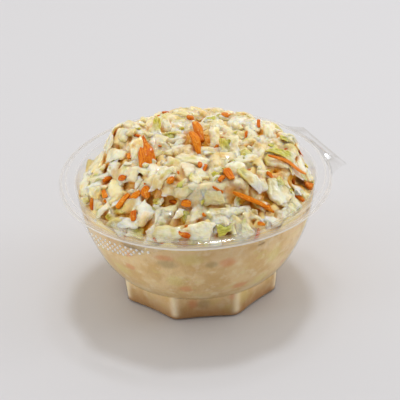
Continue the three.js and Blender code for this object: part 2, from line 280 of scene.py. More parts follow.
@dataclass(frozen=True)
class Dressed:
    """Food under a creamy wet dressing: the settings that every salad finish shares."""

    soft: float = 0.85
    soft_scale: float = 4.0
    sheen: float = 0.3
    soft_radius: tuple[float, float, float] = (1.0, 0.8, 0.38)
    wet: float = 0.6
    wet_roughness: float = 0.08
    refraction: float = 1.42
    wet_refraction: float = 1.4

    def shader(self, sheet: NodeSheet, colour: Any, roughness: Any, normal: Any) -> bpy.types.Node:
        """The food's shader, with less wet coat where it lies deep, as part of the painted shade there.

        Args:
            sheet: where it goes.
            colour: its colour, a value or link.
            roughness: its roughness, a value or link.
            normal: its relief.

        Returns:
            The shader node.
        """
        # less coat deep in the hollows, to darken them with the painted shade
        shine = (1.0 - sheet.attribute("depth")) * self.wet
        inputs = {
            "Base Color": colour,
            "Roughness": roughness,
            "Normal": normal,
            "IOR": self.refraction,
            "Specular IOR Level": self.sheen,
            "Subsurface Weight": self.soft,
            "Subsurface Scale": self.soft_scale * MM,
            "Subsurface Radius": self.soft_radius,
            "Coat Weight": shine,
            "Coat Roughness": self.wet_roughness,
            "Coat IOR": self.wet_refraction,
        }
        return sheet.node("ShaderNodeBsdfPrincipled", None, inputs)


@dataclass(frozen=True)
class CabbageFinish:
    """Pale cabbage, creamier piece by piece, green where the leaf is, with golden painted shade at its cut
    edges and where it lies deep.
    """

    name: str
    white: Colour = srgb(253, 246, 226)
    cream: Colour = srgb(248, 220, 150)
    honey: Colour = srgb(224, 182, 78)
    # golden: the colour of the painted shade at cut edges and in the hollows
    golden: Colour = srgb(228, 152, 6)
    leaf: Colour = srgb(204, 200, 86)
    deep_leaf: Colour = srgb(160, 156, 20)
    dressed: Dressed = Dressed()

    def material(self) -> bpy.types.Material:
        """The material, from the values kept on the shreds."""
        sheet = NodeSheet(self.name)
        own = sheet.own_place()
        clouds = sheet.noise(own, 0.3, 3.0)
        fibres = sheet.noise(sheet.stretched(own, (0.16, 1.3, 1.3)), 1.0, 2.0)
        grain = sheet.noise(own, 0.55, 4.0)
        soaked = sheet.noise(sheet.place(), 95.0, 3.0)
        leaves = sheet.noise(sheet.stretched(sheet.place(), (1.0, 1.0, 1.4)), 120.0, 2.0)
        tint = sheet.attribute("tint")
        pale = sheet.blend((tint * 0.7 + clouds * 1.1 - 0.55).held(), self.white, self.cream)
        glassy = sheet.blend(sheet.between(soaked, 0.47, 0.68) * 0.7, pale, self.honey)
        tinged = sheet.blend(sheet.between(leaves, 0.56, 0.72) * 0.55, glassy, self.leaf)
        leafy = sheet.blend(sheet.between(fibres, 0.38, 0.66), self.leaf, self.deep_leaf)
        greened = sheet.blend((sheet.attribute("green") * (clouds * 1.3 + 0.3)).held(), tinged, leafy)
        # painted shade: a little golden along the cut edges
        cut = sheet.blend(sheet.attribute("edge") * 0.15, greened, self.golden)
        # painted shade: golden where the shred lies deep in the heap's hollows
        shaded_in_hollows = sheet.blend((sheet.attribute("depth") * 0.95).held(), cut, self.golden)
        rough = 0.3 + 0.2 * clouds
        relief = sheet.bump(fibres * 0.3 + grain * 0.7, 1.5, 0.8)
        return sheet.close(self.dressed.shader(sheet, shaded_in_hollows, rough, relief))


@dataclass(frozen=True)
class CarrotFinish:
    """Carrot flesh with fibres along it and thin cream smears, darker as painted shade where it lies deep."""

    flesh: Colour = srgb(234, 142, 8)
    core: Colour = srgb(196, 80, 0)
    # deep: the colour of the painted shade in the hollows
    deep: Colour = srgb(136, 54, 0)
    smear: Colour = srgb(248, 190, 92)
    dressed: Dressed = Dressed(soft=0.0, soft_scale=1.0, sheen=0.1, wet=0.25)

    def material(self) -> bpy.types.Material:
        """The material, from the values kept on the shreds."""
        sheet = NodeSheet("carrot")
        own = sheet.own_place()
        fibres = sheet.noise(sheet.stretched(own, (0.12, 1.8, 1.8)), 1.0, 2.0)
        clouds = sheet.noise(own, 0.5, 2.0)
        tint = sheet.attribute("tint")
        depth = sheet.attribute("depth")
        fibrous = tint * 0.45 + sheet.between(fibres, 0.35, 0.65) * 0.7
        flesh = sheet.blend(fibrous.held(), self.flesh, self.core)
        smeared = sheet.blend(sheet.between(clouds, 0.54, 0.74) * 0.6, flesh, self.smear)
        # painted shade: darker where the shred lies deep in the heap's hollows
        shaded_in_hollows = sheet.blend((depth * 0.8).held(), smeared, self.deep)
        relief = sheet.bump(fibres * 0.7 + clouds * 0.3, 0.8, 0.8)
        return sheet.close(self.dressed.shader(sheet, shaded_in_hollows, 0.3 + 0.2 * clouds, relief))


@dataclass(frozen=True)
class PackedFinish:
    """Salad pressed together: cream against the wall, golden as painted shade in the heap's hollows, browner
    as painted shade low on the foot and under the rim, and paler as a painted highlight along the foot's
    ridges.
    """

    cream: Colour = srgb(238, 208, 154)
    shade: Colour = srgb(222, 184, 122)
    white: Colour = srgb(246, 228, 188)
    leaf: Colour = srgb(228, 212, 132)
    carrot: Colour = srgb(226, 134, 84)
    rind: Colour = srgb(168, 142, 92)
    # the painted highlight's paler cream along the foot's ridges
    ridge_highlight: Colour = srgb(254, 240, 206)
    dressing: Colour = srgb(242, 218, 146)
    # golden: the colour of the painted shade in the heap's hollows
    golden: Colour = srgb(216, 146, 10)
    # low: the colour of the painted shade on the foot and under the rim
    low: Colour = srgb(142, 82, 10)
    dressed: Dressed = Dressed(soft=0.3, soft_scale=3.0, wet=0.2)

    def material(self) -> bpy.types.Material:
        """The material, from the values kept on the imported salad."""
        sheet = NodeSheet("packed_salad")
        place = sheet.place()
        broad = sheet.noise(place, 90.0, 2.0)
        patches = sheet.noise(place, 210.0, 3.0)
        leaves = sheet.noise(sheet.stretched(place, (1.0, 1.0, 1.9)), 130.0, 1.0)
        body = sheet.blend(sheet.between(broad, 0.36, 0.66), self.cream, self.shade)
        body = sheet.blend(sheet.between(patches, 0.5, 0.72) * 0.6, body, self.white)
        body = sheet.blend(sheet.between(leaves, 0.56, 0.76) * 0.4, body, self.leaf)
        for name, colour in (("carrot", self.carrot), ("leafy", self.leaf), ("rind", self.rind)):
            body = sheet.blend(sheet.attribute(name), body, colour)
        # painted shade: browner low on the foot, under the bowl's overhang, and in a band under the rim for
        # its shadow
        body = sheet.blend(sheet.attribute("low") * 0.75, body, self.low)
        # painted highlight: paler cream along the foot's ridges, where the plastic ribs catch the light
        body = sheet.blend(sheet.attribute("ridge") * 0.7, body, self.ridge_highlight)
        body = sheet.blend(sheet.attribute("top") * 0.9, body, self.dressing)
        # painted shade: golden where the skin lies deep in the heap's hollows
        body = sheet.blend((sheet.attribute("depth") * (patches + 0.15)).held(), body, self.golden)
        relief = sheet.bump(sheet.noise(place, 300.0, 4.0), 1.2, 0.7)
        return sheet.close(self.dressed.shader(sheet, body, 0.36 + 0.2 * patches, relief))


@dataclass(frozen=True)
class StudioPaper:
    """The matt pale surface that the bowl stands on."""

    colour: Colour = (0.62, 0.62, 0.64, 1.0)
    roughness: float = 0.75
    sheen: float = 0.15
    grain: float = 260.0  # grains to the metre
    grain_depth: float = 0.05
    grain_strength: float = 0.1

    def material(self) -> bpy.types.Material:
        """The material."""
        sheet = NodeSheet("studio_paper")
        grain = sheet.noise(sheet.place(), self.grain)
        inputs = {
            "Base Color": self.colour,
            "Roughness": self.roughness,
            "Specular IOR Level": self.sheen,
            "Normal": sheet.bump(grain, self.grain_depth, self.grain_strength),
        }
        return sheet.close(sheet.node("ShaderNodeBsdfPrincipled", None, inputs))


# ---------------------------------------------------------------- forms


@dataclass(frozen=True)
class HeapForm:
    """The even form that the heap follows over the bowl."""

    wall_level: float = 56.5
    radius: float = 59.0
    shoulder_rise: float = 13.5
    shoulder_power: float = 4.8
    mound_rise: float = 8.0
    mound_radius: float = 52.0
    mound_lean: float = 9.4
    mound_lean_angle: float = 31.8
    mound_slope: float = 8.0
    crown_rise: float = 0.8
    humps: tuple = ((133.0, 37.5, 8.0, 11.0), (344.0, 53.5, 7.5, 6.6))  # polar place, rise and width

    def height(self, x: Array, y: Array) -> Array:
        """Height over the table, from the place seen from above."""
        radius = np.hypot(x, y)
        out = np.minimum(radius / self.radius, 1)
        lean = np.cos(np.arctan2(y, x) - self.mound_lean_angle * DEG)
        mound = smooth((self.mound_radius + self.mound_lean * lean - radius) / self.mound_slope)
        total = self.wall_level + self.shoulder_rise * (1 - out**self.shoulder_power)
        total = total + self.mound_rise * mound + self.crown_rise * (1 - out**2)
        for angle, reach, rise, width in self.humps:
            apart = (x - reach * math.cos(angle * DEG)) ** 2 + (y - reach * math.sin(angle * DEG)) ** 2
            total = total + rise * np.exp(-apart / width**2) * (1 - out**8)
        return total

    def outwards(self, x: float, y: float) -> Array:
        """The direction straight out of the form."""
        step = 0.5
        slope_x = (self.height(x + step, y) - self.height(x - step, y)) / (2 * step)
        slope_y = (self.height(x, y + step) - self.height(x, y - step)) / (2 * step)
        normal = np.array([-slope_x, -slope_y, 1.0])
        return normal / np.linalg.norm(normal)


@dataclass(frozen=True)
class BowlForm:
    """The bowl's sizes: fluted eight-sided foot, round wall and stepped rim."""

    sheet: float = 0.8
    foot_bottom: float = 42.6
    foot_top: float = 44.2
    foot_height: float = 15.8
    foot_sides: int = 8
    flute: float = 1.2
    ridge_round: float = 0.05
    foot_edge: float = 1.0
    ledge_z: float = 15.1
    wall_curve: tuple = (
        (44.2, 15.8), (46.8, 18.6), (50.5, 23.8), (54.4, 31.5), (58.3, 42.0), (60.4, 52.0), (61.6, 61.3),
    )
    rim_curve: tuple = (
        (61.62, 61.3), (61.75, 61.75), (62.1, 62.0), (62.6, 62.1), (63.6, 62.35), (65.2, 62.95),
        (66.5, 63.15), (67.5, 62.9), (68.6, 62.2), (69.05, 61.5), (69.2, 60.85),
    )
    rim_radius: float = 70.0
    rim_z: float = 60.85
    rim_edge: float = 1.2
    tab_reach: float = 73.5
    tab_tip_y: float = -26.8
    tab_far_y: float = 17.6
    tab_near_pull: tuple = (67.5, -27.7)  # where the tab's two bent sides are pulled to
    tab_far_pull: tuple = (70.5, 20.2)
    tab_overlap: float = 0.35
    tab_root_angles: tuple = (-27.7, 20.0)
    skirt_angles: tuple = (188.0, 198.0, 213.0, 230.6)
    skirt_low: float = 53.2
    skirt_band: float = 0.85
    knurl_rows: tuple = (58.3, 56.75, 55.2, 53.9)
    knurl_pitch: float = 3.1
    knurl_radius: float = 0.75
    knurl_height: float = 0.5
    # painted highlights as pale frost: on the knurl's studs, on the cut outer edge and in thin lines along
    # the rim's bends
    knurl_painted_highlight: float = 0.9
    edge_painted_highlight: float = 0.75
    painted_highlight_lines: tuple = ((62.0, 0.22, 0.3), (66.5, 0.3, 0.4), (68.9, 0.25, 0.45))  # radius, width, strength

    def foot_radius(self, angle: Array, share: float) -> Array:
        """Radius of the fluted foot.

        Args:
            angle: round the axis, in radians.
            share: of the foot's height.

        Returns:
            The radius at each angle.
        """
        half = math.pi / self.foot_sides
        ridge = self.foot_bottom + (self.foot_top - self.foot_bottom) * share
        from_ridge = half - np.abs(np.mod(angle, 2 * half) - half)
        rounded = np.sqrt(from_ridge**2 + self.ridge_round**2)
        from_middle = half - rounded
        flute = self.flute * (1 - (from_middle / half) ** 2)
        return ridge * math.cos(half) / np.cos(from_middle) - flute

    def wall(self, steps: int = 8) -> Array:
        """The outside of the round wall, as smooth [radius, height] rows."""
        return spline(self.wall_curve, steps)

    def inside_radius(self, z: Array) -> Array:
        """Radius of the round wall's inner face at a height, held to the mouth's above it."""
        wall = self.wall()
        return np.interp(z, wall[:, 1], wall[:, 0]) - self.sheet


def spline(points: tuple, steps: int) -> Array:
    """A smooth curve through points.

    Args:
        points: the points, as rows of two numbers.
        steps: stretches between each two of them.

    Returns:
        The curve's points.
    """
    rows = np.array(points, float)
    ends = np.vstack([2 * rows[0] - rows[1], rows, 2 * rows[-1] - rows[-2]])
    made = []
    for before, start, stop, after in zip(ends, ends[1:], ends[2:], ends[3:]):
        for t in np.arange(steps) / steps:
            bend = (2 * before - 5 * start + 4 * stop - after) * t**2
            twist = (3 * (start - stop) + after - before) * t**3
            made.append(0.5 * (2 * start + (stop - before) * t + bend + twist))
    made.append(rows[-1])
    return np.array(made)


def waves(x: Array, y: Array, lengths: tuple, seed: int) -> Array:
    """Uneven swells: crossing waves, each as high as a share of its length.

    Args:
        x: first coordinate.
        y: second coordinate.
        lengths: the waves' lengths.
        seed: sets their headings and shifts.

    Returns:
        The swells, about 0.
    """
    draw = np.random.default_rng(seed)
    total = np.zeros(np.broadcast(x, y).shape)
    for length in lengths:
        heading, shift = draw.uniform(0, 2 * math.pi, 2)
        run = x * math.cos(heading) + y * math.sin(heading)
        total = total + length * np.sin(2 * math.pi * run / length + shift)
    return total


# ---------------------------------------------------------------- meshes


def linked(name: str, data: bpy.types.ID) -> bpy.types.Object:
    """A new object in the scene."""
    made = bpy.data.objects.new(name, data)
    bpy.context.scene.collection.objects.link(made)
    return made


class Stock:
    """Points, faces and surface values gathered for one mesh."""

    SOFTENING = 0.5  # how far each round of smoothing moves a point

    def __init__(self) -> None:
        """Starts empty."""
        self.points: list[Array] = []
        self.faces: list[Array] = []
        self.values: dict[str, list[Array]] = {}
        self.count = 0

    def add(self, points: Array, faces: Array, **values: Array) -> None:
        """Adds a closed body.

        Args:
            points: its points, in millimetres.
            faces: its four-sided faces, as rows of point numbers.
            values: what is kept on each point, by name.
        """
        self.points.append(points)
        self.faces.append(faces + self.count)
        self.count += len(points)
        for name, value in values.items():
            self.values.setdefault(name, []).append(value)

    def corners(self) -> list[list[int]]:
        """Every face's corners, without one that comes twice in a row."""
        faces = [[corner for corner in row if corner >= 0] for row in np.concatenate(self.faces).tolist()]
        return [drop_repeats(row) for row in faces]

    def merged(self, cell: float, rounds: int) -> "Stock":
        """The same bodies as one skin, with their meetings filled and softened.

        Args:
            cell: the skin's grid, in millimetres.
            rounds: how often it is smoothed.

        Returns:
            The skin, with the values of the nearest points.
        """
        points = np.concatenate(self.points)
        loose = bpy.data.meshes.new("loose")
        loose.from_pydata(points.tolist(), [], self.corners())
        body = linked("loose", loose)
        remesh = body.modifiers.new("remesh", "REMESH")
        remesh.mode, remesh.voxel_size = "VOXEL", cell
        soften = body.modifiers.new("soften", "SMOOTH")
        soften.factor, soften.iterations = self.SOFTENING, rounds
        done = body.evaluated_get(bpy.context.evaluated_depsgraph_get())
        skin = done.to_mesh()
        places = np.zeros(len(skin.vertices) * 3)
        skin.vertices.foreach_get("co", places)
        faces = np.array([tuple(face.vertices) for face in skin.polygons])
        done.to_mesh_clear()
        bpy.data.objects.remove(body)
        bpy.data.meshes.remove(loose)
        places = places.reshape(-1, 3)
        tree = KDTree(len(points))
        for number, point in enumerate(points.tolist()):
            tree.insert(point, number)
        tree.balance()
        nearest = np.array([tree.find(place)[1] for place in places.tolist()])
        made = Stock()
        values = {name: np.concatenate(parts)[nearest] for name, parts in self.values.items()}
        made.add(places, faces, **values)
        return made

    def made(
        self, name: str, material: bpy.types.Material, slot: str, crease: float = 180.0
    ) -> bpy.types.Object:
        """Makes the object, with its values as mesh attributes.

        Args:
            name: the piece's name.
            material: its finish.
            slot: not used.
            crease: edges that turn by more degrees than this stay sharp.

        Returns:
            The object, riding on the body.
        """
        mesh = bpy.data.meshes.new(name)
        points = np.concatenate(self.points) * MM
        mesh.from_pydata(points.tolist(), [], self.corners())
        for key, parts in self.values.items():
            value = np.concatenate(parts).astype(np.float32)
            kind, field_name = ("FLOAT_VECTOR", "vector") if value.ndim == 2 else ("FLOAT", "value")
            layer = mesh.attributes.new(key, kind, "POINT")
            layer.data.foreach_set(field_name, value.ravel())
        mesh.polygons.foreach_set("use_smooth", [True] * len(mesh.polygons))
        mesh.set_sharp_from_angle(angle=crease * DEG)
        mesh.materials.append(material)
        mesh.update()
        piece = linked(name, mesh)
        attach(piece, BODY)
        return piece


def drop_repeats(row: list[int]) -> list[int]:
    """A face's corners without one that comes twice in a row."""
    return [corner for i, corner in enumerate(row) if corner != row[i - 1]]


def grid_faces(rows: int, columns: int, closed: bool) -> Array:
    """Faces of a grid of points, row by row.

    Args:
        rows: how many rows of points.
        columns: how many points in each.
        closed: joins the last column to the first.

    Returns:
        The faces, turned so that rows going up and columns going round to the left face out.
    """
    across = np.arange(columns if closed else columns - 1)
    row, column = np.meshgrid(np.arange(rows - 1), across, indexing="ij")
    after = (column + 1) % columns
    low, high = row * columns, (row + 1) * columns
    faces = np.stack([low + column, low + after, high + after, high + column], -1)
    return faces.reshape(-1, 4)


def capped(rings: Array) -> tuple[Array, Array]:
    """A closed skin through rings whose first and last shrink to a point.

    Args:
        rings: ring by ring, the points in three coordinates.

    Returns:
        The points and the faces.
    """
    rows, columns, _ = rings.shape
    points = np.concatenate([rings[:1, 0], rings[1:-1].reshape(-1, 3), rings[-1:, 0]])
    faces = grid_faces(rows, columns, True)
    numbers = np.arange(rows * columns) - columns + 1
    numbers[:columns] = 0
    numbers[-columns:] = len(points) - 1
    return points, numbers[faces]


def looped(sections: Array) -> tuple[Array, Array]:
    """A closed skin through sections, with its first and last shrunk to their middles.

    Args:
        sections: section by section, the points in three coordinates.

    Returns:
        The points and the faces.
    """
    ends = [np.repeat(part.mean(0)[None], part.shape[0], 0)[None] for part in (sections[0], sections[-1])]
    return capped(np.concatenate([ends[0], sections, ends[1]]))


def all_round() -> Array:
    """The angles round the axis of the bowl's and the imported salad's points, in radians."""
    return np.arange(SIDES) * 2 * math.pi / SIDES


def upright(profile: Array, angles: Array) -> Array:
    """Points from a profile's radius and height.

    Args:
        profile: the radius and the height of each point.
        angles: round the axis, in radians.

    Returns:
        The points in three coordinates.
    """
    radius, z = profile[..., 0], profile[..., 1]
    return np.stack([radius * np.cos(angles), radius * np.sin(angles), z], -1)


def from_axis(points: Array) -> Array:
    """How far points are from the axis."""
    return np.hypot(points[:, 0], points[:, 1])


def turned_from(angle: Array, start: float) -> Array:
    """The turn from one angle to another, from -180 to 180 degrees."""
    return (angle - start + 180) % 360 - 180


# ---------------------------------------------------------------- the bowl


class Bowl:
    """The clear bowl: foot, wall and rim in one sheet, with the pull tab and the grip skirt."""

    FLOOR_RINGS = (0.3, 0.6, 0.85)  # shares of the foot's radius
    LEDGE_RINGS = (0.06, 0.22, 0.5, 0.8)  # shares of the way from the foot to the wall
    TAB_SECTION = ((1, 0.0), (0.006, 0.0), (0, 0.15), (0, 0.85), (0.006, 1.0), (1, 1.0))  # drawn in, up
    SKIRT_POINTS = (300, 36)  # along and down the grip skirt
    SKIRT_SUNK = 0.1  # under the rim's lower face where the skirt runs out
    SKIRT_ROOT = 0.4  # how far it reaches up into the rim
    SKIRT_INSET = 0.03

    def __init__(self, form: BowlForm) -> None:
        """Keeps the sizes."""
        self.form = form

    def outside(self, angles: Array) -> Array:
        """The sheet's outer face from the middle of the foot up to the rim's edge.

        Args:
            angles: round the axis, in radians.

        Returns:
            Ring by ring and angle by angle, the radius and the height.
        """
        form = self.form
        rings = []
        foot = form.foot_radius(angles, 0.0)
        for share in self.FLOOR_RINGS:
            rings.append((foot * share, 0.0))
        for turn in np.linspace(0, math.pi / 2, 5):
            drawn_in = form.foot_edge * (1 - math.sin(turn))
            rings.append((foot - drawn_in, form.foot_edge * (1 - math.cos(turn))))
        for z in np.linspace(form.foot_edge, form.ledge_z - 0.5, 9)[1:]:
            rings.append((form.foot_radius(angles, z / form.foot_height), z))
        top = form.foot_radius(angles, 1.0)
        start = form.wall_curve[0]
        for share in self.LEDGE_RINGS:
            lift = form.ledge_z + (start[1] - form.ledge_z) * share**1.5
            rings.append((top + (start[0] - top) * share, lift))
        for radius, z in (*form.wall(), *spline(form.rim_curve, 3)[1:]):
            rings.append((np.full_like(angles, radius), z))
        return np.array([np.stack([radius, np.full_like(angles, z)], -1) for radius, z in rings])

    def inside(self, outer: Array) -> Array:
        """The outer face moved in by the sheet's thickness, at right angles to it."""
        run = np.gradient(outer, axis=0)
        length = np.linalg.norm(run, axis=-1, keepdims=True)
        normal = np.stack([-run[..., 1], run[..., 0]], -1) / np.maximum(length, 1e-9)
        moved = outer + self.form.sheet * normal
        moved[:, :, 0] = np.maximum(moved[:, :, 0], 0.5)
        return moved

    def shell(self) -> tuple[Array, Array]:
        """The foot, wall and rim as one closed sheet."""
        angles = all_round()
        outer = self.outside(angles)
        inner = self.inside(outer)
        radius, low = self.form.rim_radius, self.form.rim_z
        top = low + self.form.rim_edge
        edge = ((radius - 0.1, low), (radius, low + 0.1), (radius, top - 0.15), (radius - 0.12, top))
        lip = np.array([[point] * SIDES for point in edge])
        last = len(inner) - 1 - np.argmax(inner[::-1, 0, 1] > top + 0.1)
        middles = np.zeros((2, SIDES, 2))
        middles[1, :, 1] = self.form.sheet
        path = np.concatenate([middles[:1], outer, lip, inner[: last + 1][::-1], middles[1:]])
        return capped(upright(path, angles))

    def tab_outline(self) -> Array:
        """The pull tab's edge seen from above, from one root to the other and back along the rim."""
        form = self.form
        low, high = (angle * DEG for angle in form.tab_root_angles)

        def bend(start: tuple, pull: tuple, stop: tuple) -> Array:
            t = np.linspace(0, 1, 9)[:, None]
            start, pull, stop = (np.array(point, float) for point in (start, pull, stop))
            return (1 - t) ** 2 * start + 2 * t * (1 - t) * pull + t**2 * stop

        def root(angle: float) -> tuple[float, float]:
            return (form.rim_radius * math.cos(angle), form.rim_radius * math.sin(angle))

        tip = (form.tab_reach, form.tab_tip_y)
        far = (form.tab_reach, form.tab_far_y)
        near_flank = bend(root(low), form.tab_near_pull, tip)
        far_flank = bend(far, form.tab_far_pull, root(high))
        edge = np.linspace(tip, far, 9)[1:-1]
        turns = np.linspace(high, low, 17)[1:-1]
        back = (form.rim_radius - form.tab_overlap) * np.stack([np.cos(turns), np.sin(turns)], -1)
        return np.concatenate([near_flank, edge, far_flank, back])

    def pull_tab(self) -> tuple[Array, Array]:
        """The tab: a flat tongue with softened edges."""
        outline = self.tab_outline()
        middle = outline.mean(0)
        low, thick = self.form.rim_z, self.form.sheet
        rings = []
        for share, z in self.TAB_SECTION:
            pulled = outline + (middle - outline) * share
            rings.append(np.column_stack([pulled, np.full(len(outline), low + z * thick)]))
        return capped(np.array(rings))

    def edge_painted_highlight(self, points: Array) -> Array:
        """How much painted highlight, as pale frost, the sheet takes: only in thin lines along its bends and
        its cut outer edge.
        """
        low, high = self.form.tab_root_angles
        angle = np.degrees(np.arctan2(points[:, 1], points[:, 0]))
        radius = from_axis(points)
        free = smooth(np.maximum(low - angle, angle - high) / 4)
        painted_highlight = free * smooth((radius - self.form.rim_radius + 0.12) / 0.1) * self.form.edge_painted_highlight
        for place, wide, strength in self.form.painted_highlight_lines:
            near = strength * np.exp(-(((radius - place) / wide) ** 2))
            painted_highlight = np.maximum(painted_highlight, near * (points[:, 2] > self.form.rim_z - 0.5))
        return painted_highlight

    def grip_skirt(self) -> tuple[Array, Array, Array]:
        """The skirt: an upright band under part of the rim, with studs on its outside that take a painted
        highlight as pale frost.

        Returns:
            The points, the faces and how much painted highlight each point takes.
        """
        form = self.form
        start, deep, shallow, end = form.skirt_angles
        columns, rows = self.SKIRT_POINTS
        angles = np.linspace(start, end, columns)[:, None]
        ease = np.minimum((angles - start) / (deep - start), (end - angles) / (end - shallow))
        low = form.rim_z - self.SKIRT_SUNK - (form.rim_z - form.skirt_low) * np.clip(ease, 0, 1)
        top = form.rim_z + self.SKIRT_ROOT
        z = top + (low - top) * np.linspace(0, 1, rows)
        raised = self.knurl(angles * DEG * form.rim_radius, z, low)
        outer = np.stack([form.rim_radius - self.SKIRT_INSET + raised, z], -1)
        inner = np.stack([np.full_like(z, form.rim_radius - form.skirt_band), z], -1)[:, ::-4]
        studs = np.concatenate([raised / form.knurl_height, 0 * inner[..., 0]], 1)
        # painted highlight on the studs, where their glints would be
        painted_highlight = form.knurl_painted_highlight * smooth(studs * 2).ravel()
        return *looped(upright(np.concatenate([outer, inner], 1), angles * DEG)), np.pad(painted_highlight, 1)

    def knurl(self, arc: Array, z: Array, low: Array) -> Array:
        """How far the knurl's round studs stand out.

        Args:
            arc: distance round the rim.
            z: height.
            low: the band's lower edge there.

        Returns:
            The studs' height at each point.
        """
        form = self.form
        raised = np.zeros(np.broadcast(arc, z).shape)
        for number, level in enumerate(form.knurl_rows):
            shifted = arc / form.knurl_pitch + 0.5 * (number % 2)
            across = (shifted - np.round(shifted)) * form.knurl_pitch
            away = np.hypot(across, z - level) / form.knurl_radius
            stud = form.knurl_height * np.sqrt(np.clip(1 - away**2, 0, 1))
            raised = np.maximum(raised, np.where(level > low + 0.4, stud, 0))
        return raised

    def build(self) -> bpy.types.Object:
        """Makes the bowl in place of the plain solid."""
        stock = Stock()
        for points, faces in (self.shell(), self.pull_tab()):
            # painted highlight along the bends and the cut edge
            stock.add(points, faces, painted_highlight=self.edge_painted_highlight(points))
        points, faces, painted_highlight = self.grip_skirt()
        stock.add(points, faces, painted_highlight=painted_highlight)
        piece = stock.made("clear_bowl", ClearPlastic().material(), "clear_plastic")
        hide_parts("bowl")
        return piece


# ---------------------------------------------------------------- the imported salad


class Spot(Enum):
    """What shows as a blurred spot against the wall."""

    CARROT = "carrot"
    LEAF = "leafy"
    RIND = "rind"


@dataclass(frozen=True)
class WallSpot:
    """A spot against the wall: where it lies and how large it is."""

    kind: Spot
    angle: float
    z: float
    wide: float
    high: float


def wall_spots(kind: Spot, *rows: tuple) -> list[WallSpot]:
    """Spots of one kind from rows of their values."""
    return [WallSpot(kind, *row) for row in rows]


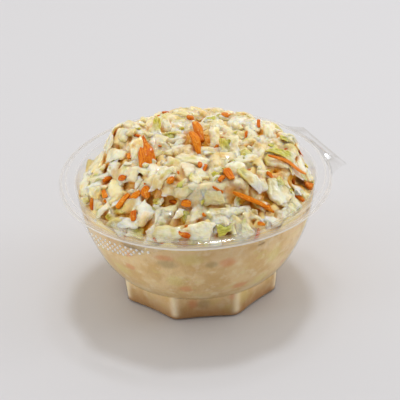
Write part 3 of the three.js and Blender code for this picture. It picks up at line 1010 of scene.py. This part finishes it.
class PackedSalad:
    """The salad pressed into the bowl, reaching just into the wall, up to the heap's lumpy skin."""

    REACH = 0.25  # into the wall
    FLOOR_RINGS = (0.35, 0.7, 0.92)  # shares of the foot's radius
    LEVEL_DOWN = 1.5  # the salad's uneven edge against the wall, under the heap form's own
    UNEVEN = 0.12
    EVEN_DOWN = 5.0  # under the form's edge, where the rings are level
    SUNK = (1.0, 1.9)  # the heap's skin under its even form, at the wall and on the heap
    RIDGE_HIGHLIGHT_WIDE = 2.2  # width of the painted highlight along the foot's ridges
    RIM_SHADOW = 0.2  # painted rim shadow: how far the salad just under the rim takes the foot's painted shade
    RIM_SHADOW_FROM = 42.0
    RIM_SHADOW_OVER = 9.0
    LESS_DEEP_FROM = 50.0  # radius from which the hollows' painted shade counts less, and by how much near the wall
    LESS_DEEP_OVER = 6.0
    LESS_DEEP = 0.85
    SPOTS = 46  # further spots round the wall, by draw
    SPOT_SEED = 41
    SPOT_STRENGTH = 0.55
    SPOTS_APART = (7.0, 6.0)  # drawn spots from named ones, in degrees round and millimetres up
    NAMED = (
        *wall_spots(
            Spot.CARROT,
            (205.8, 37.0, 3.2, 2.2), (236.0, 27.0, 3.6, 2.6), (267.0, 25.0, 4.6, 2.4),
            (238.0, 9.5, 2.8, 3.0), (227.0, 49.0, 5.0, 2.0), (258.0, 45.0, 4.6, 3.0),
        ),
        *wall_spots(Spot.RIND, (246.0, 9.0, 3.8, 3.4), (228.0, 45.0, 5.5, 3.0), (250.0, 45.0, 3.4, 2.4)),
        *wall_spots(Spot.LEAF, (240.0, 49.0, 8.0, 4.0), (231.0, 33.0, 5.0, 5.0), (285.0, 40.0, 5.0, 6.0)),
    )

    def __init__(self, bowl: BowlForm, heap: HeapForm) -> None:
        """Keeps the forms it lies between."""
        self.bowl = bowl
        self.heap = heap

    def rings(self, angles: Array) -> Array:
        """The skin, ring by ring from the middle of the foot to the top of the heap."""
        reach = self.bowl.sheet - self.REACH
        made = [(np.zeros_like(angles), np.full_like(angles, reach))]
        foot = self.bowl.foot_radius(angles, 0.0) - reach
        for share in self.FLOOR_RINGS:
            made.append((foot * share, np.full_like(angles, reach)))
        for z in np.linspace(reach + 0.4, self.bowl.ledge_z, 16):
            radius = self.bowl.foot_radius(angles, z / self.bowl.foot_height) - reach
            made.append((radius, np.full_like(angles, z)))
        wall = self.bowl.wall(12)
        swells = self.UNEVEN * waves(angles * 60, 0 * angles, (9, 17, 29), 3)
        level = self.heap.wall_level - self.LEVEL_DOWN + swells
        even = self.heap.wall_level - self.EVEN_DOWN
        for radius, z in wall[1:]:
            if z < even:
                made.append((np.full_like(angles, radius - reach), np.full_like(angles, z)))
        for share in np.linspace(0, 1, 8):
            z = even + (level - even) * share
            made.append((self.bowl.inside_radius(z) + self.REACH, z))
        for radius in (59.2, *np.linspace(58.4, 0, 66)):
            x, y = radius * np.cos(angles), radius * np.sin(angles)
            sunk = self.SUNK[0] + (self.SUNK[1] - self.SUNK[0]) * smooth((58.5 - radius) / 8)
            skin = self.heap.height(x, y) - sunk + self.lumps(x, y) * min((59.4 - radius) / 4, 1)
            made.append((np.full_like(angles, radius), skin))
        return np.array([np.stack([radius, z], -1) for radius, z in made])

    @staticmethod
    def lumps(x: Array, y: Array) -> Array:
        """The skin's unevenness."""
        return 0.06 * waves(x, y, (19, 15, 12, 9, 7, 6), 8) + 0.06 * waves(x, y, (4.4, 3.6, 3.1), 9)

    def spots(self) -> list[WallSpot]:
        """The spots against the wall: the named ones, then those drawn for the rest of it."""
        draw = np.random.default_rng(self.SPOT_SEED)
        made = list(self.NAMED)
        kinds = [Spot.CARROT, Spot.CARROT, Spot.LEAF, Spot.LEAF, Spot.RIND]
        round_apart, up_apart = self.SPOTS_APART
        for _ in range(self.SPOTS):
            kind = kinds[int(draw.integers(len(kinds)))]
            angle, z = draw.uniform(0, 360), draw.uniform(3, 54)
            wide, high = draw.uniform(1.2, 3.4), draw.uniform(1.0, 2.6)
            if kind is Spot.LEAF:
                wide, high = wide * 2, high * 2
            if all(
                abs(turned_from(angle, other.angle)) > round_apart or abs(z - other.z) > up_apart
                for other in self.NAMED
            ):
                made.append(WallSpot(kind, angle, z, wide, high))
        return made

    def spot_values(self, points: Array) -> dict[str, Array]:
        """How strongly each kind of spot shows at each point."""
        angle = np.degrees(np.arctan2(points[:, 1], points[:, 0]))
        radius = from_axis(points)
        ragged = 0.012 * waves(angle * radius * DEG, points[:, 2], (5, 3.4, 2.3), 5)
        values = {kind.value: np.zeros(len(points)) for kind in Spot}
        at_wall = smooth((radius - 30) / 6) * smooth((60 - points[:, 2]) / 3)
        for spot in self.spots():
            along = turned_from(angle, spot.angle) * DEG * radius / spot.wide
            away = np.hypot(along, (points[:, 2] - spot.z) / spot.high) + ragged
            strength = self.SPOT_STRENGTH * smooth((1.3 - away) / 0.9) * at_wall
            values[spot.kind.value] = np.maximum(values[spot.kind.value], strength)
        return values

    def ridge(self, points: Array) -> Array:
        """How near each point is to one of the foot's ridges, for their painted highlight."""
        half = math.pi / self.bowl.foot_sides
        angle = np.mod(np.arctan2(points[:, 1], points[:, 0]), 2 * half)
        along = (half - np.abs(angle - half)) * from_axis(points)
        low = smooth((self.bowl.foot_height - points[:, 2]) / 2) * smooth((points[:, 2] - 0.8) / 3)
        return np.exp(-((along / self.RIDGE_HIGHLIGHT_WIDE) ** 2)) * low

    def build(self, relief: "Relief") -> bpy.types.Object:
        """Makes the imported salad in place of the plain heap.

        Args:
            relief: the heap's heights, which tell the hollows.

        Returns:
            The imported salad.
        """
        angles = all_round()
        points, faces = capped(upright(self.rings(angles), angles))
        radius, z = from_axis(points), points[:, 2]
        inner = 1 - self.LESS_DEEP * smooth((radius - self.LESS_DEEP_FROM) / self.LESS_DEEP_OVER)
        top = smooth((z - self.heap.wall_level + 3) / 4)
        # how deep in the hollows, for their painted shade
        depth = relief.depth(points) * top * inner
        # painted shade: darker towards the foot's bottom, and a painted rim shadow in a band under the rim
        low = smooth((self.bowl.foot_height - z) / self.bowl.foot_height)
        low = np.maximum(low, self.RIM_SHADOW * smooth((z - self.RIM_SHADOW_FROM) / self.RIM_SHADOW_OVER))
        values = {"top": top, "depth": depth, "low": low, "ridge": self.ridge(points)}
        stock = Stock()
        stock.add(points, faces, **values, **self.spot_values(points))
        piece = stock.made("packed_salad", PackedFinish().material(), "coleslaw")
        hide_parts("coleslaw")
        return piece


# ---------------------------------------------------------------- shreds


@dataclass(frozen=True)
class Lie:
    """How a shred lies on the heap: polar place, heading, nose up, roll and lift."""

    angle: float
    radius: float
    yaw: float
    pitch: float = 0.0
    roll: float = 0.0
    lift: float = 0.5
    leans: bool = False

    def leaning(self, length: float) -> float:
        """How far the nose stands up over the middle, for a shred that leans on others."""
        return self.leans * length / 2 * math.sin(abs(self.pitch) * DEG)

    def set_down(self, points: Array, heap: HeapForm) -> Array:
        """Moves a shred from its own axes onto the heap."""
        x, y = self.radius * math.cos(self.angle * DEG), self.radius * math.sin(self.angle * DEG)
        up = heap.outwards(x, y)
        along = np.array([math.cos(self.yaw * DEG), math.sin(self.yaw * DEG), 0.0])
        along -= up * (along @ up)
        along /= np.linalg.norm(along)
        side = np.cross(up, along)
        tilt = Matrix.Rotation(-self.pitch * DEG, 3, "Y") @ Matrix.Rotation(self.roll * DEG, 3, "X")
        turned = points @ np.array(tilt).T
        middle = np.array([x, y, float(heap.height(x, y))]) + self.lift * up
        return turned @ np.stack([along, side, up]) + middle


@dataclass(frozen=True)
class Flake:
    """A chip of leaf or rib, cut on every side."""

    CUT: ClassVar[float] = 0.93  # where the cut edge starts, as a share of the way out
    ROUND: ClassVar[float] = 0.12  # how far the corners are drawn in, as a share of the way out
    RIB_WIDE: ClassVar[float] = 0.35  # half the rib's width, as a share of the way out

    length: float
    width: float
    thick: float
    curl: float
    cup: float
    wave: float
    taper: float
    skew: float
    rib: float
    shifts: tuple

    def lines(self, count: int) -> Array:
        """Where the points lie from one cut edge, -1, to the other, 1."""
        return np.concatenate([[-1], np.linspace(-self.CUT, self.CUT, count - 2), [1]])

    def body(self, rows: int, columns: int) -> tuple[Array, Array, Array, Array]:
        """The chip in its own axes.

        Args:
            rows: points along it.
            columns: points across it.

        Returns:
            The points, the faces, how far along each point is, from -1 to 1, and how near the cut edge.
        """
        u = self.lines(rows)[:, None] * np.ones((1, columns))
        v = self.lines(columns)[None] * np.ones((rows, 1))
        edge = np.maximum(np.abs(u), np.abs(v))
        u, v = u * (1 - self.ROUND * v**4), v * (1 - self.ROUND * u**4)
        first, second, third = self.shifts
        ragged_x = 0.10 * np.sin(2.6 * v + first) + 0.05 * np.sin(7 * v + second)
        ragged_y = 0.16 * np.sin(2.9 * u + second) + 0.06 * np.sin(8 * u + third)
        x = self.length / 2 * u * (1 + ragged_x) + self.skew * self.width / 2 * v
        y = self.width / 2 * v * (1 + ragged_y - self.taper * u)
        bend = self.curl * (u**2 - 0.4) + self.cup * (v**2 - 0.3)
        swell = np.sin(2.6 * u + 1.7 * v + third) + 0.5 * np.sin(5.2 * u - 3.9 * v + first)
        crinkle = 0.24 * np.sin(x * 1.5 + second) * np.sin(y * 1.7 + third)
        middle = bend + self.wave * swell + crinkle
        ribbed = 1 + self.rib * np.exp(-((v / self.RIB_WIDE) ** 2))
        body = np.where(edge > self.CUT, 0, 1 - 0.25 * edge**4) * ribbed
        uneven = 1 + 0.22 * np.sin(3.7 * u + 4.3 * v + second)
        half = self.thick / 2 * body * uneven
        top = np.stack([x, y, middle + half], -1).reshape(-1, 3)
        low = np.stack([x, y, middle - half], -1).reshape(-1, 3)
        number = np.arange(rows * columns).reshape(rows, columns)
        below = number.copy()
        inside = (rows - 2, columns - 2)
        below[1:-1, 1:-1] = rows * columns + np.arange(math.prod(inside)).reshape(inside)
        inner = np.zeros((rows, columns), bool)
        inner[1:-1, 1:-1] = True
        points = np.concatenate([top, low[inner.ravel()]])
        upper = grid_faces(rows, columns, False)
        faces = np.concatenate([number.ravel()[upper][:, ::-1], below.ravel()[upper]])
        along = np.concatenate([u.ravel(), u.ravel()[inner.ravel()]])
        near_edge = np.concatenate([edge.ravel(), edge.ravel()[inner.ravel()]]) ** 7
        return points, faces, along, near_edge


@dataclass(frozen=True)
class Strip:
    """A julienne strip: a bent bar with softened corners and cut ends."""

    AROUND: ClassVar[int] = 12  # points round it
    SQUARE: ClassVar[int] = 5  # how square its corners are, where 2 is round

    length: float
    width: float
    thick: float
    curl: float
    sway: float
    shift: float

    def body(self, steps: int) -> tuple[Array, Array, Array, Array]:
        """The strip in its own axes, as Flake.body gives a chip."""
        u = np.concatenate([[-1], np.sin(np.linspace(-1, 1, steps) * math.pi / 2) * 0.995, [1]])[:, None]
        turn = np.linspace(0, 2 * math.pi, self.AROUND + 1)[None, :-1]
        squared = np.abs([np.cos(turn), np.sin(turn)]) ** self.SQUARE
        corner = squared.sum(0) ** (-1 / self.SQUARE)
        uneven = 1 - 0.3 * u**2 - 0.1 * np.sin(3 * u + self.shift)
        slim = uneven * np.sqrt(np.clip(1 - np.abs(u) ** 24, 0, 1))
        y = self.sway * np.sin(2 * u + self.shift) + self.width / 2 * slim * corner * np.cos(turn)
        z = self.curl * (u**2 - 0.3) + self.thick / 2 * slim * corner * np.sin(turn)
        x = self.length / 2 * u * np.ones_like(turn)
        points, faces = capped(np.stack([x, y, z], -1))
        along = points[:, 0] / (self.length / 2)
        return points, faces, along, np.abs(along) ** 20


@dataclass(frozen=True)
class Shred:
    """One shred whose place and size are set: polar place, heading, nose up, length and width."""

    angle: float
    radius: float
    yaw: float
    pitch: float
    length: float
    width: float
    taper: float | None = None  # how much narrower its nose is; drawn if not set

    def apart(self, other: "Shred") -> float:
        """How far two shreds' middles are apart, seen from above."""
        across = math.cos((self.angle - other.angle) * DEG)
        return math.sqrt(self.radius**2 + other.radius**2 - 2 * self.radius * other.radius * across + 1e-6)


class Kind(Enum):
    """The kinds of shred."""

    WHITE = "white"
    GREEN = "green"
    CARROT = "carrot"


def shreds(*rows: tuple) -> list[Shred]:
    """Shreds from rows of their values."""
    return [Shred(*row) for row in rows]


CARROT_STRIP_WIDTH = 4.1  # wider carrot is cut as chips

LARGE: dict[Kind, list[Shred]] = {
    Kind.WHITE: shreds(
        (166, 29.6, 62, 25, 17, 6), (158, 38, 130, 0, 10, 8), (179, 44.9, 68, 0, 14, 10),
        (157, 56, 61, 0, 18, 6), (170, 52.4, 113, 0, 10, 7), (214, 34, 30, 14, 15, 6.5),
        (243, 31.7, 101, 0, 8.5, 5), (234, 37.8, 8, 0, 9.5, 6), (256, 40.9, 149, 0, 10, 8),
        (264, 46.9, 174, 0, 22, 6), (268, 55.8, 90, 0, 10, 7), (229, 55, 152, 0, 15, 8),
        (244, 53.5, 140, 0, 15, 9, 0.4),
        (188, 47.6, 0, 0, 8, 4), (211, 47.8, 79, 0, 12, 9), (225, 44.9, 145, 0, 9, 5),
        (206, 54.4, 133, 0, 12, 6), (303, 30.3, 177, 0, 15, 8), (350, 11, 68, 35, 13, 6),
        (323, 19.8, 68, 35, 11, 6.5), (100, 25.6, 68, 35, 11, 6), (100, 40, 132, 10, 7, 5),
        (74, 36, 153, 0, 11, 5), (8, 38, 38, 5, 13, 7), (350, 39.4, 65, 30, 12, 6),
        (343, 50, 60, 0, 6, 5), (334, 56.5, 121, 0, 9, 6), (298, 48.2, 117, -6, 15, 10),
        (285, 40.4, 119, 10, 15, 6), (315, 56.6, 149, 0, 8, 4), (297, 56.5, 9, 0, 11, 6),
        (238, 15.7, 138, 0, 18, 8), (248, 27.3, 79, 0, 10, 7),
        # on the steep flank away from the front
        (120, 44, 30, 0, 15, 9), (129, 43, 44, 0, 16, 9), (138, 44, 58, 0, 15, 9), (147, 43, 46, 0, 14, 8),
        (124, 50, 40, 0, 14, 8), (133, 50.5, 36, 0, 16, 8), (142, 50, 62, 0, 15, 8), (151, 50, 50, 0, 13, 8),
        # under the long strip at the right
        (323, 50.5, 150, 0, 13, 8), (314, 43, 145, 0, 12, 7),
    ),
    Kind.GREEN: shreds(
        (118, 24.7, 61, 30, 15, 5.5), (46, 29.9, 177, 0, 6, 3.6), (25, 40.3, 111, 0, 7, 4),
        (217, 40.8, 145, 0, 5.5, 4), (317, 16.4, 64, 35, 9, 6), (303, 46.9, 1, 0, 6, 3.6),
        (343, 48.6, 160, 10, 8, 5), (258, 53.7, 170, 0, 9, 6.5), (159, 49.4, 136, 0, 12, 6),
        (325, 43.4, 153, 5, 15, 7),
    ),
    Kind.CARROT: shreds(
        (169, 25.8, 72, 11, 24, 6.4, 0.6), (262, 1.8, 82, 25, 16, 3.8), (50, 9.5, 83, 25, 15, 4),
        (273, 33.9, 88, 0, 9, 4), (280, 46.2, 121, -5, 24, 2.2), (318, 46.5, 162, 9, 24, 2.2),
        (324, 57, 163, 0, 6, 4), (194, 47.2, 14, 0, 10, 3.1), (199, 41.1, 1, 0, 6, 4),
        (206, 38.8, 59, 0, 6.5, 4), (223, 34.7, 19, 5, 4.5, 3), (179, 49.6, 67, 0, 6.5, 2.6),
        (237, 55.1, 119, 0, 6.5, 2.6), (67, 29.9, 90, 0, 4.5, 3), (37, 36, 84, 0, 5, 3.2),
        (83, 43.3, 113, 0, 5, 2), (168, 33.8, 63, 0, 5, 2.5), (180, 39.4, 138, 0, 5, 2.6),
        (250, 21.4, 63, 0, 4.5, 2.2), (207, 51.1, 57, 0, 6, 3), (237, 40.7, 124, 0, 5, 3.6),
        (265, 34.9, 31, 0, 4.5, 2.6), (277, 55.7, 161, 0, 4, 1.8), (7, 39.5, 62, 20, 7, 2),
        (299, 44, 125, 0, 4, 2),
    ),
}


@dataclass(frozen=True)
class Scatter:
    """How many further shreds of a kind lie over the heap, and between what sizes."""

    name: str
    kind: Kind
    count: int
    length: tuple
    width: tuple
    lift: tuple
    tilt: float
    seed: int
    points: tuple = (11, 9)
    skin: tuple = ()  # the merged skin's grid and rounds of smoothing, where the dressing joins them


SCATTERS = (
    Scatter("cabbage_chips", Kind.WHITE, 290, (9.0, 18.0), (5.5, 10.5), (-2.8, 0.7), 36.0, 11, skin=(0.8, 0)),
    Scatter("cabbage_bits", Kind.WHITE, 110, (3.5, 8.0), (2.2, 4.6), (-0.2, 1.8), 55.0, 14, skin=(0.45, 1)),
    Scatter("leaf_bits", Kind.GREEN, 84, (4.5, 10.0), (2.6, 5.8), (-0.8, 0.9), 32.0, 12),
    Scatter("carrot_bits", Kind.CARROT, 76, (3.0, 8.5), (1.4, 2.7), (-0.6, 1.2), 30.0, 13),
)


class Relief:
    """The dressed heap's heights over its even form, on a square grid seen from above."""

    CELL = 1.0
    HALF = 64
    NEAR = 2  # cells to each side among which the highest counts
    WIDE = 4  # cells to each side over which the highest are averaged
    # where the hollows' painted shade begins, and over how far it grows full
    DEEP_FROM = 2.1
    DEEP_OVER = 3.2

    def __init__(self, heap: HeapForm, points: Array) -> None:
        """Takes the heights of the shreds' points."""
        self.heap = heap
        over = np.full((2 * self.HALF, 2 * self.HALF), -1.0)
        np.maximum.at(over, self.cells(points), self.over(points))
        highest = np.maximum.reduce(self.shifted(over, self.NEAR))
        self.level = np.mean(self.shifted(highest, self.WIDE), 0)

    def cells(self, points: Array) -> tuple[Array, Array]:
        """The cell that each point is in."""
        cells = np.floor(points[:, :2] / self.CELL).astype(int) + self.HALF
        held = np.clip(cells, 0, 2 * self.HALF - 1)
        return held[:, 0], held[:, 1]

    def over(self, points: Array) -> Array:
        """How far each point is above the even form."""
        return points[:, 2] - self.heap.height(points[:, 0], points[:, 1])

    @staticmethod
    def shifted(grid: Array, reach: int) -> list[Array]:
        """The grid moved by every step within a reach."""
        steps = range(-reach, reach + 1)
        return [np.roll(grid, (x, y), (0, 1)) for x in steps for y in steps]

    def depth(self, points: Array) -> Array:
        """How deep each point lies in the heap's hollows, from 0 to 1."""
        below = self.level[self.cells(points)] - self.over(points)
        return smooth((below - self.DEEP_FROM) / self.DEEP_OVER)


class Shreds:
    """The shreds on the heap, gathered kind by kind."""

    GOLDEN_ANGLE = 137.508
    SEED_ANGLE = 31  # turns each kind's pattern, for every step of its seed
    SPREAD = 58.0
    JITTER = 1.6
    ANGLE_JITTER = 3.0
    WALL_GAP = 0.15
    STRIP_SWAY = 0.03  # of a strip's length
    LARGE_SEED = 21
    LARGE_POINTS = (21, 15)
    LARGE_ROLL = 14.0  # degrees to either side
    NOSE_LIFT = 0.6  # share of a leaning nose's height by which the shred is raised
    LARGE_LIFT = {Kind.WHITE: (0.6, 1.5), Kind.GREEN: (1.0, 1.8), Kind.CARROT: (1.8, 2.8)}
    UNDER_LARGE = -1.2  # lift of a shred that lies under a large one
    UNDER_REACH = 0.25  # of the large one's length, from its middle
    PROUD = 2.2  # over the form, where points start to be pressed down
    LARGE_PROUD = 3.0
    SETTLE = 0.6  # share of what stands prouder
    LARGE_SKIN = (0.4, 0)  # the large cabbage's grid and rounds of smoothing
    CREASE = 50.0  # degrees

    def __init__(self, bowl: BowlForm, heap: HeapForm) -> None:
        """Keeps the forms that the shreds lie on and within."""
        self.bowl = bowl
        self.heap = heap
        self.stocks: dict[str, tuple[Kind, Stock]] = {}

    def within(self, points: Array, proud: float) -> Array:
        """Points pressed in where they would pass the wall, and down where they stand proud.

        Args:
            points: the shred's points.
            proud: over the form, where points start to be pressed down.

        Returns:
            The points in their last places.
        """
        radius = from_axis(points)
        room = self.bowl.inside_radius(points[:, 2]) - self.WALL_GAP
        pressed = points.copy()
        pressed[:, :2] *= np.minimum(1, room / np.maximum(radius, 1e-6))[:, None]
        over = pressed[:, 2] - self.heap.height(pressed[:, 0], pressed[:, 1])
        pressed[:, 2] -= self.SETTLE * np.maximum(over - proud, 0)
        return pressed

    def chip(self, draw: np.random.Generator, kind: Kind, length: float, width: float) -> Flake:
        """A chip with its small variations drawn."""
        thick = {Kind.WHITE: (1.5, 3.2), Kind.GREEN: (0.8, 1.5), Kind.CARROT: (1.4, 2.2)}[kind]
        return Flake(
            length,
            width,
            float(draw.uniform(*thick)),
            float(draw.uniform(-0.12, 0.14)) * length,
            float(draw.uniform(-0.16, 0.16)) * width,
            float(draw.uniform(0.12, 0.5)),
            float(draw.uniform(-0.35, 0.35)),
            float(draw.uniform(-0.5, 0.5)),
            float(draw.uniform(0, 0.6)) if kind is Kind.WHITE else 0.0,
            tuple(draw.uniform(0, 2 * math.pi, 3)),
        )

    def greened(self, draw: np.random.Generator, kind: Kind, along: Array) -> Array:
        """How green a shred is along it: leaf nearly all over, and some white ribs at one end."""
        reach = float(draw.uniform(-0.6, 0.5))
        strength = float(draw.uniform(-0.5, 0.9))
        if kind is Kind.CARROT:
            return 0 * along
        if kind is Kind.GREEN:
            return smooth(along + 0.9 - reach)
        return max(strength, 0) * smooth((along + reach) / 1.2)

    def add(
        self, stock: Stock, draw: np.random.Generator, kind: Kind, shred: Shred, lie: Lie, grid: tuple
    ) -> None:
        """Adds one shred to a kind's mesh.

        Args:
            stock: where it goes.
            draw: the kind's draws.
            kind: what it is cut from.
            shred: its length and width.
            lie: how it lies.
            grid: points along and across it.
        """
        length, width = shred.length, shred.width
        if kind is Kind.CARROT and width < CARROT_STRIP_WIDTH:
            thick, curl, shift = draw.uniform((0.6, -0.06, 0), (0.95, 0.1, 6.28)).tolist()
            strip = Strip(length, width, width * thick, curl * length, self.STRIP_SWAY * length, shift)
            points, faces, along, edge = strip.body(grid[0])
        else:
            flake = self.chip(draw, kind, length, width)
            if shred.taper is not None:
                flake = replace(flake, taper=shred.taper)
            points, faces, along, edge = flake.body(*grid)
        own = points + draw.uniform(-200, 200, 3)
        tint = np.full(len(points), float(draw.uniform(0, 1)))
        proud = self.LARGE_PROUD + lie.leaning(length) if lie.leans else self.PROUD
        placed = self.within(lie.set_down(points, self.heap), proud)
        stock.add(placed, faces, own=own, tint=tint, edge=edge, green=self.greened(draw, kind, along))

    def gather_large(self, kind: Kind, seed: int) -> Stock:
        """Gathers the large shreds of one kind."""
        draw = np.random.default_rng(seed)
        stock = Stock()
        for shred in LARGE[kind]:
            roll = float(draw.uniform(-self.LARGE_ROLL, self.LARGE_ROLL))
            lift = float(draw.uniform(*self.LARGE_LIFT[kind]))
            lie = Lie(shred.angle, shred.radius, shred.yaw, shred.pitch, roll, lift, leans=True)
            lie = replace(lie, lift=lift + self.NOSE_LIFT * lie.leaning(shred.length))
            self.add(stock, draw, kind, shred, lie, self.LARGE_POINTS)
        return stock.merged(*self.LARGE_SKIN) if kind is Kind.WHITE else stock

    def under_large(self, shred: Shred) -> bool:
        """Whether a shred's middle lies under a large one."""
        large = (other for kind in Kind for other in LARGE[kind])
        return any(shred.apart(other) < self.UNDER_REACH * other.length for other in large)

    def gather_scatter(self, scatter: Scatter) -> Stock:
        """Gathers the further shreds of one kind, spread evenly over the heap."""
        draw = np.random.default_rng(scatter.seed)
        stock = Stock()
        for i in range(scatter.count):
            even = self.SPREAD * math.sqrt((i + 0.5) / scatter.count)
            radius = even + float(draw.uniform(-1, 1)) * self.JITTER
            turn = float(draw.uniform(-self.ANGLE_JITTER, self.ANGLE_JITTER))
            angle = i * self.GOLDEN_ANGLE + scatter.seed * self.SEED_ANGLE + turn
            length, width, yaw = draw.uniform(*zip(scatter.length, scatter.width, (0, 360))).tolist()
            pitch, roll = draw.uniform(-scatter.tilt, scatter.tilt, 2).tolist()
            shred = Shred(angle, radius, yaw, pitch, length, width)
            lift = float(draw.uniform(*scatter.lift))
            if self.under_large(shred):
                lift, pitch, roll = self.UNDER_LARGE, pitch / 2, roll / 2
            lie = Lie(angle, radius, yaw, pitch, roll, lift)
            self.add(stock, draw, scatter.kind, shred, lie, scatter.points)
        return stock.merged(*scatter.skin) if scatter.skin else stock

    def gather(self) -> Relief:
        """Gathers every kind, large shreds first, and gives the heights that they make."""
        names = {Kind.WHITE: "cabbage_shreds", Kind.GREEN: "leaf_shreds", Kind.CARROT: "carrot_shreds"}
        for seed, kind in enumerate(Kind, self.LARGE_SEED):
            self.stocks[names[kind]] = (kind, self.gather_large(kind, seed))
        for scatter in SCATTERS:
            self.stocks[scatter.name] = (scatter.kind, self.gather_scatter(scatter))
        parts = [part for _, stock in self.stocks.values() for part in stock.points]
        return Relief(self.heap, np.concatenate(parts))

    def build(self, relief: Relief) -> list[bpy.types.Object]:
        """Makes the gathered kinds, with golden painted shade where the relief is deep."""
        finishes = {
            Kind.WHITE: CabbageFinish("cabbage").material(),
            Kind.GREEN: CabbageFinish("green_leaf").material(),
            Kind.CARROT: CarrotFinish().material(),
        }
        made = []
        for name, (kind, stock) in self.stocks.items():
            # depth sets the painted shade in the hollows
            stock.values["depth"] = [relief.depth(part) for part in stock.points]
            made.append(stock.made(name, finishes[kind], "coleslaw", self.CREASE))
        return made


# ---------------------------------------------------------------- the studio


@dataclass(frozen=True)
class Lens:
    """The camera: where it stands round the bowl and how it is aimed, for a square image."""

    azimuth: float = -116.2
    elevation: float = 30.2012
    distance: float = 1190.0
    aim_z: float = 60.85
    focal_px: float = 2323.0
    image_px: float = 400.0
    aim_px: tuple = (196.51, 178.31)
    roll: float = -2.2213
    sensor: float = 36.0
    sees: float = 50.0  # metres

    def build(self) -> bpy.types.Object:
        """Makes the camera and hands it to the scene."""
        azimuth, elevation = self.azimuth * DEG, self.elevation * DEG
        level = math.cos(elevation)
        back = np.array([math.cos(azimuth) * level, math.sin(azimuth) * level, math.sin(elevation)])
        right = np.array([-math.sin(azimuth), math.cos(azimuth), 0.0])
        turn = Matrix(np.stack([right, np.cross(back, right), back], -1).tolist())
        pan, tilt = (math.atan((px - self.image_px / 2) / self.focal_px) for px in self.aim_px)
        for angle, axis in ((pan, "Y"), (tilt, "X"), (self.roll * DEG, "Z")):
            turn = turn @ Matrix.Rotation(angle, 3, axis)
        data = bpy.data.cameras.new("camera")
        data.sensor_width = self.sensor
        data.lens = self.focal_px / self.image_px * self.sensor
        data.clip_end = self.sees
        camera = linked("camera", data)
        place = back * self.distance * MM + np.array([0, 0, self.aim_z * MM])
        camera.matrix_world = Matrix.Translation(place.tolist()) @ turn.to_4x4()
        bpy.context.scene.camera = camera
        return camera


@dataclass(frozen=True)
class Lamp:
    """A soft lamp: its place from the camera's side in metres, its size and its power."""

    name: str
    place: tuple
    size: float
    power: float
    colour: tuple = (1.0, 1.0, 1.0)
    aim: tuple = (0.0, 0.0, 0.05)

    def build(self, turn: float) -> bpy.types.Object:
        """Makes the lamp.

        Args:
            turn: how far the camera's own axes are turned from the bowl's, in radians.

        Returns:
            The lamp.
        """
        data = bpy.data.lights.new(self.name, "AREA")
        data.shape = "DISK"
        data.size = self.size
        data.energy = self.power
        data.color = self.colour
        lamp = linked(self.name, data)
        spin = Matrix.Rotation(turn, 3, "Z")
        place, aim = (spin @ Vector(point) for point in (self.place, self.aim))
        lamp.location = place
        lamp.rotation_mode = "QUATERNION"
        lamp.rotation_quaternion = (aim - place).to_track_quat("-Z", "Y")
        return lamp


@dataclass(frozen=True)
class Studio:
    """The pale table and its light."""

    table_size: float = 8.0
    sky_low: Colour = (0.2, 0.185, 0.165, 1.0)
    sky_high: Colour = (0.89, 0.84, 0.785, 1.0)
    sky_way: tuple = (0.0, 0.42, 0.9)  # where the sky is brightest, from the camera's side
    sky_from: float = -0.7  # where it starts to brighten, as a share of that way
    lamps: tuple = (
        Lamp("key", (0.1, 0.46, 1.25), 0.22, 6.0, (0.88, 0.93, 1.0)),
        Lamp("left", (-1.1, -0.24, 0.1), 0.5, 5.6, (0.9, 0.95, 1.0)),
        Lamp("right", (1.1, 0.1, 0.22), 0.5, 4.6, (0.9, 0.95, 1.0)),
    )

    def build(self, turn: float) -> None:
        """Makes the table, the sky and the lamps, turned with the camera."""
        half = self.table_size / 2
        mesh = bpy.data.meshes.new("table")
        corners = [(-half, -half, 0), (half, -half, 0), (half, half, 0), (-half, half, 0)]
        mesh.from_pydata(corners, [], [(0, 1, 2, 3)])
        mesh.materials.append(StudioPaper().material())
        table = linked("table", mesh)
        for lamp in self.lamps:
            lamp.build(turn)
        bpy.context.scene.world = self.sky(turn)

    def sky(self, turn: float) -> bpy.types.World:
        """The light from all round, brightest overhead and behind.

        Args:
            turn: how far the camera's own axes are turned from the bowl's, in radians.

        Returns:
            The world.
        """
        world = bpy.data.worlds.new("studio")
        world.use_nodes = True
        nodes, links = world.node_tree.nodes, world.node_tree.links
        place = nodes.new("ShaderNodeTexCoord")
        along = nodes.new("ShaderNodeVectorMath")
        along.operation = "DOT_PRODUCT"
        along.inputs[1].default_value = Matrix.Rotation(turn, 3, "Z") @ Vector(self.sky_way)
        share = nodes.new("ShaderNodeMapRange")
        share.interpolation_type = "SMOOTHSTEP"
        share.inputs["From Min"].default_value = self.sky_from
        ramp = nodes.new("ShaderNodeMix")
        ramp.data_type = "RGBA"
        ramp.inputs[6].default_value, ramp.inputs[7].default_value = self.sky_low, self.sky_high
        links.new(place.outputs["Generated"], along.inputs[0])
        links.new(along.outputs["Value"], share.inputs["Value"])
        links.new(share.outputs[0], ramp.inputs[0])
        links.new(ramp.outputs[2], nodes["Background"].inputs["Color"])
        return world


def main() -> None:
    """Builds the camera, the studio, the bowl and the salad, and reports each piece."""
    logging.basicConfig(level=logging.INFO, format="%(message)s")
    scene = bpy.context.scene
    scene.view_settings.view_transform = "Standard"
    scene.cycles.transparent_max_bounces = CLEAR_BOUNCES
    lens = Lens()
    lens.build()
    Studio().build((lens.azimuth + 90) * DEG)
    bowl, heap = BowlForm(), HeapForm()
    shreds_on_top = Shreds(bowl, heap)
    relief = shreds_on_top.gather()
    pieces = [Bowl(bowl).build(), PackedSalad(bowl, heap).build(relief), *shreds_on_top.build(relief)]
    for piece in pieces:
        LOG.info("%s: %d faces", piece.name, len(piece.data.polygons))


if __name__ == "__main__":
    main()
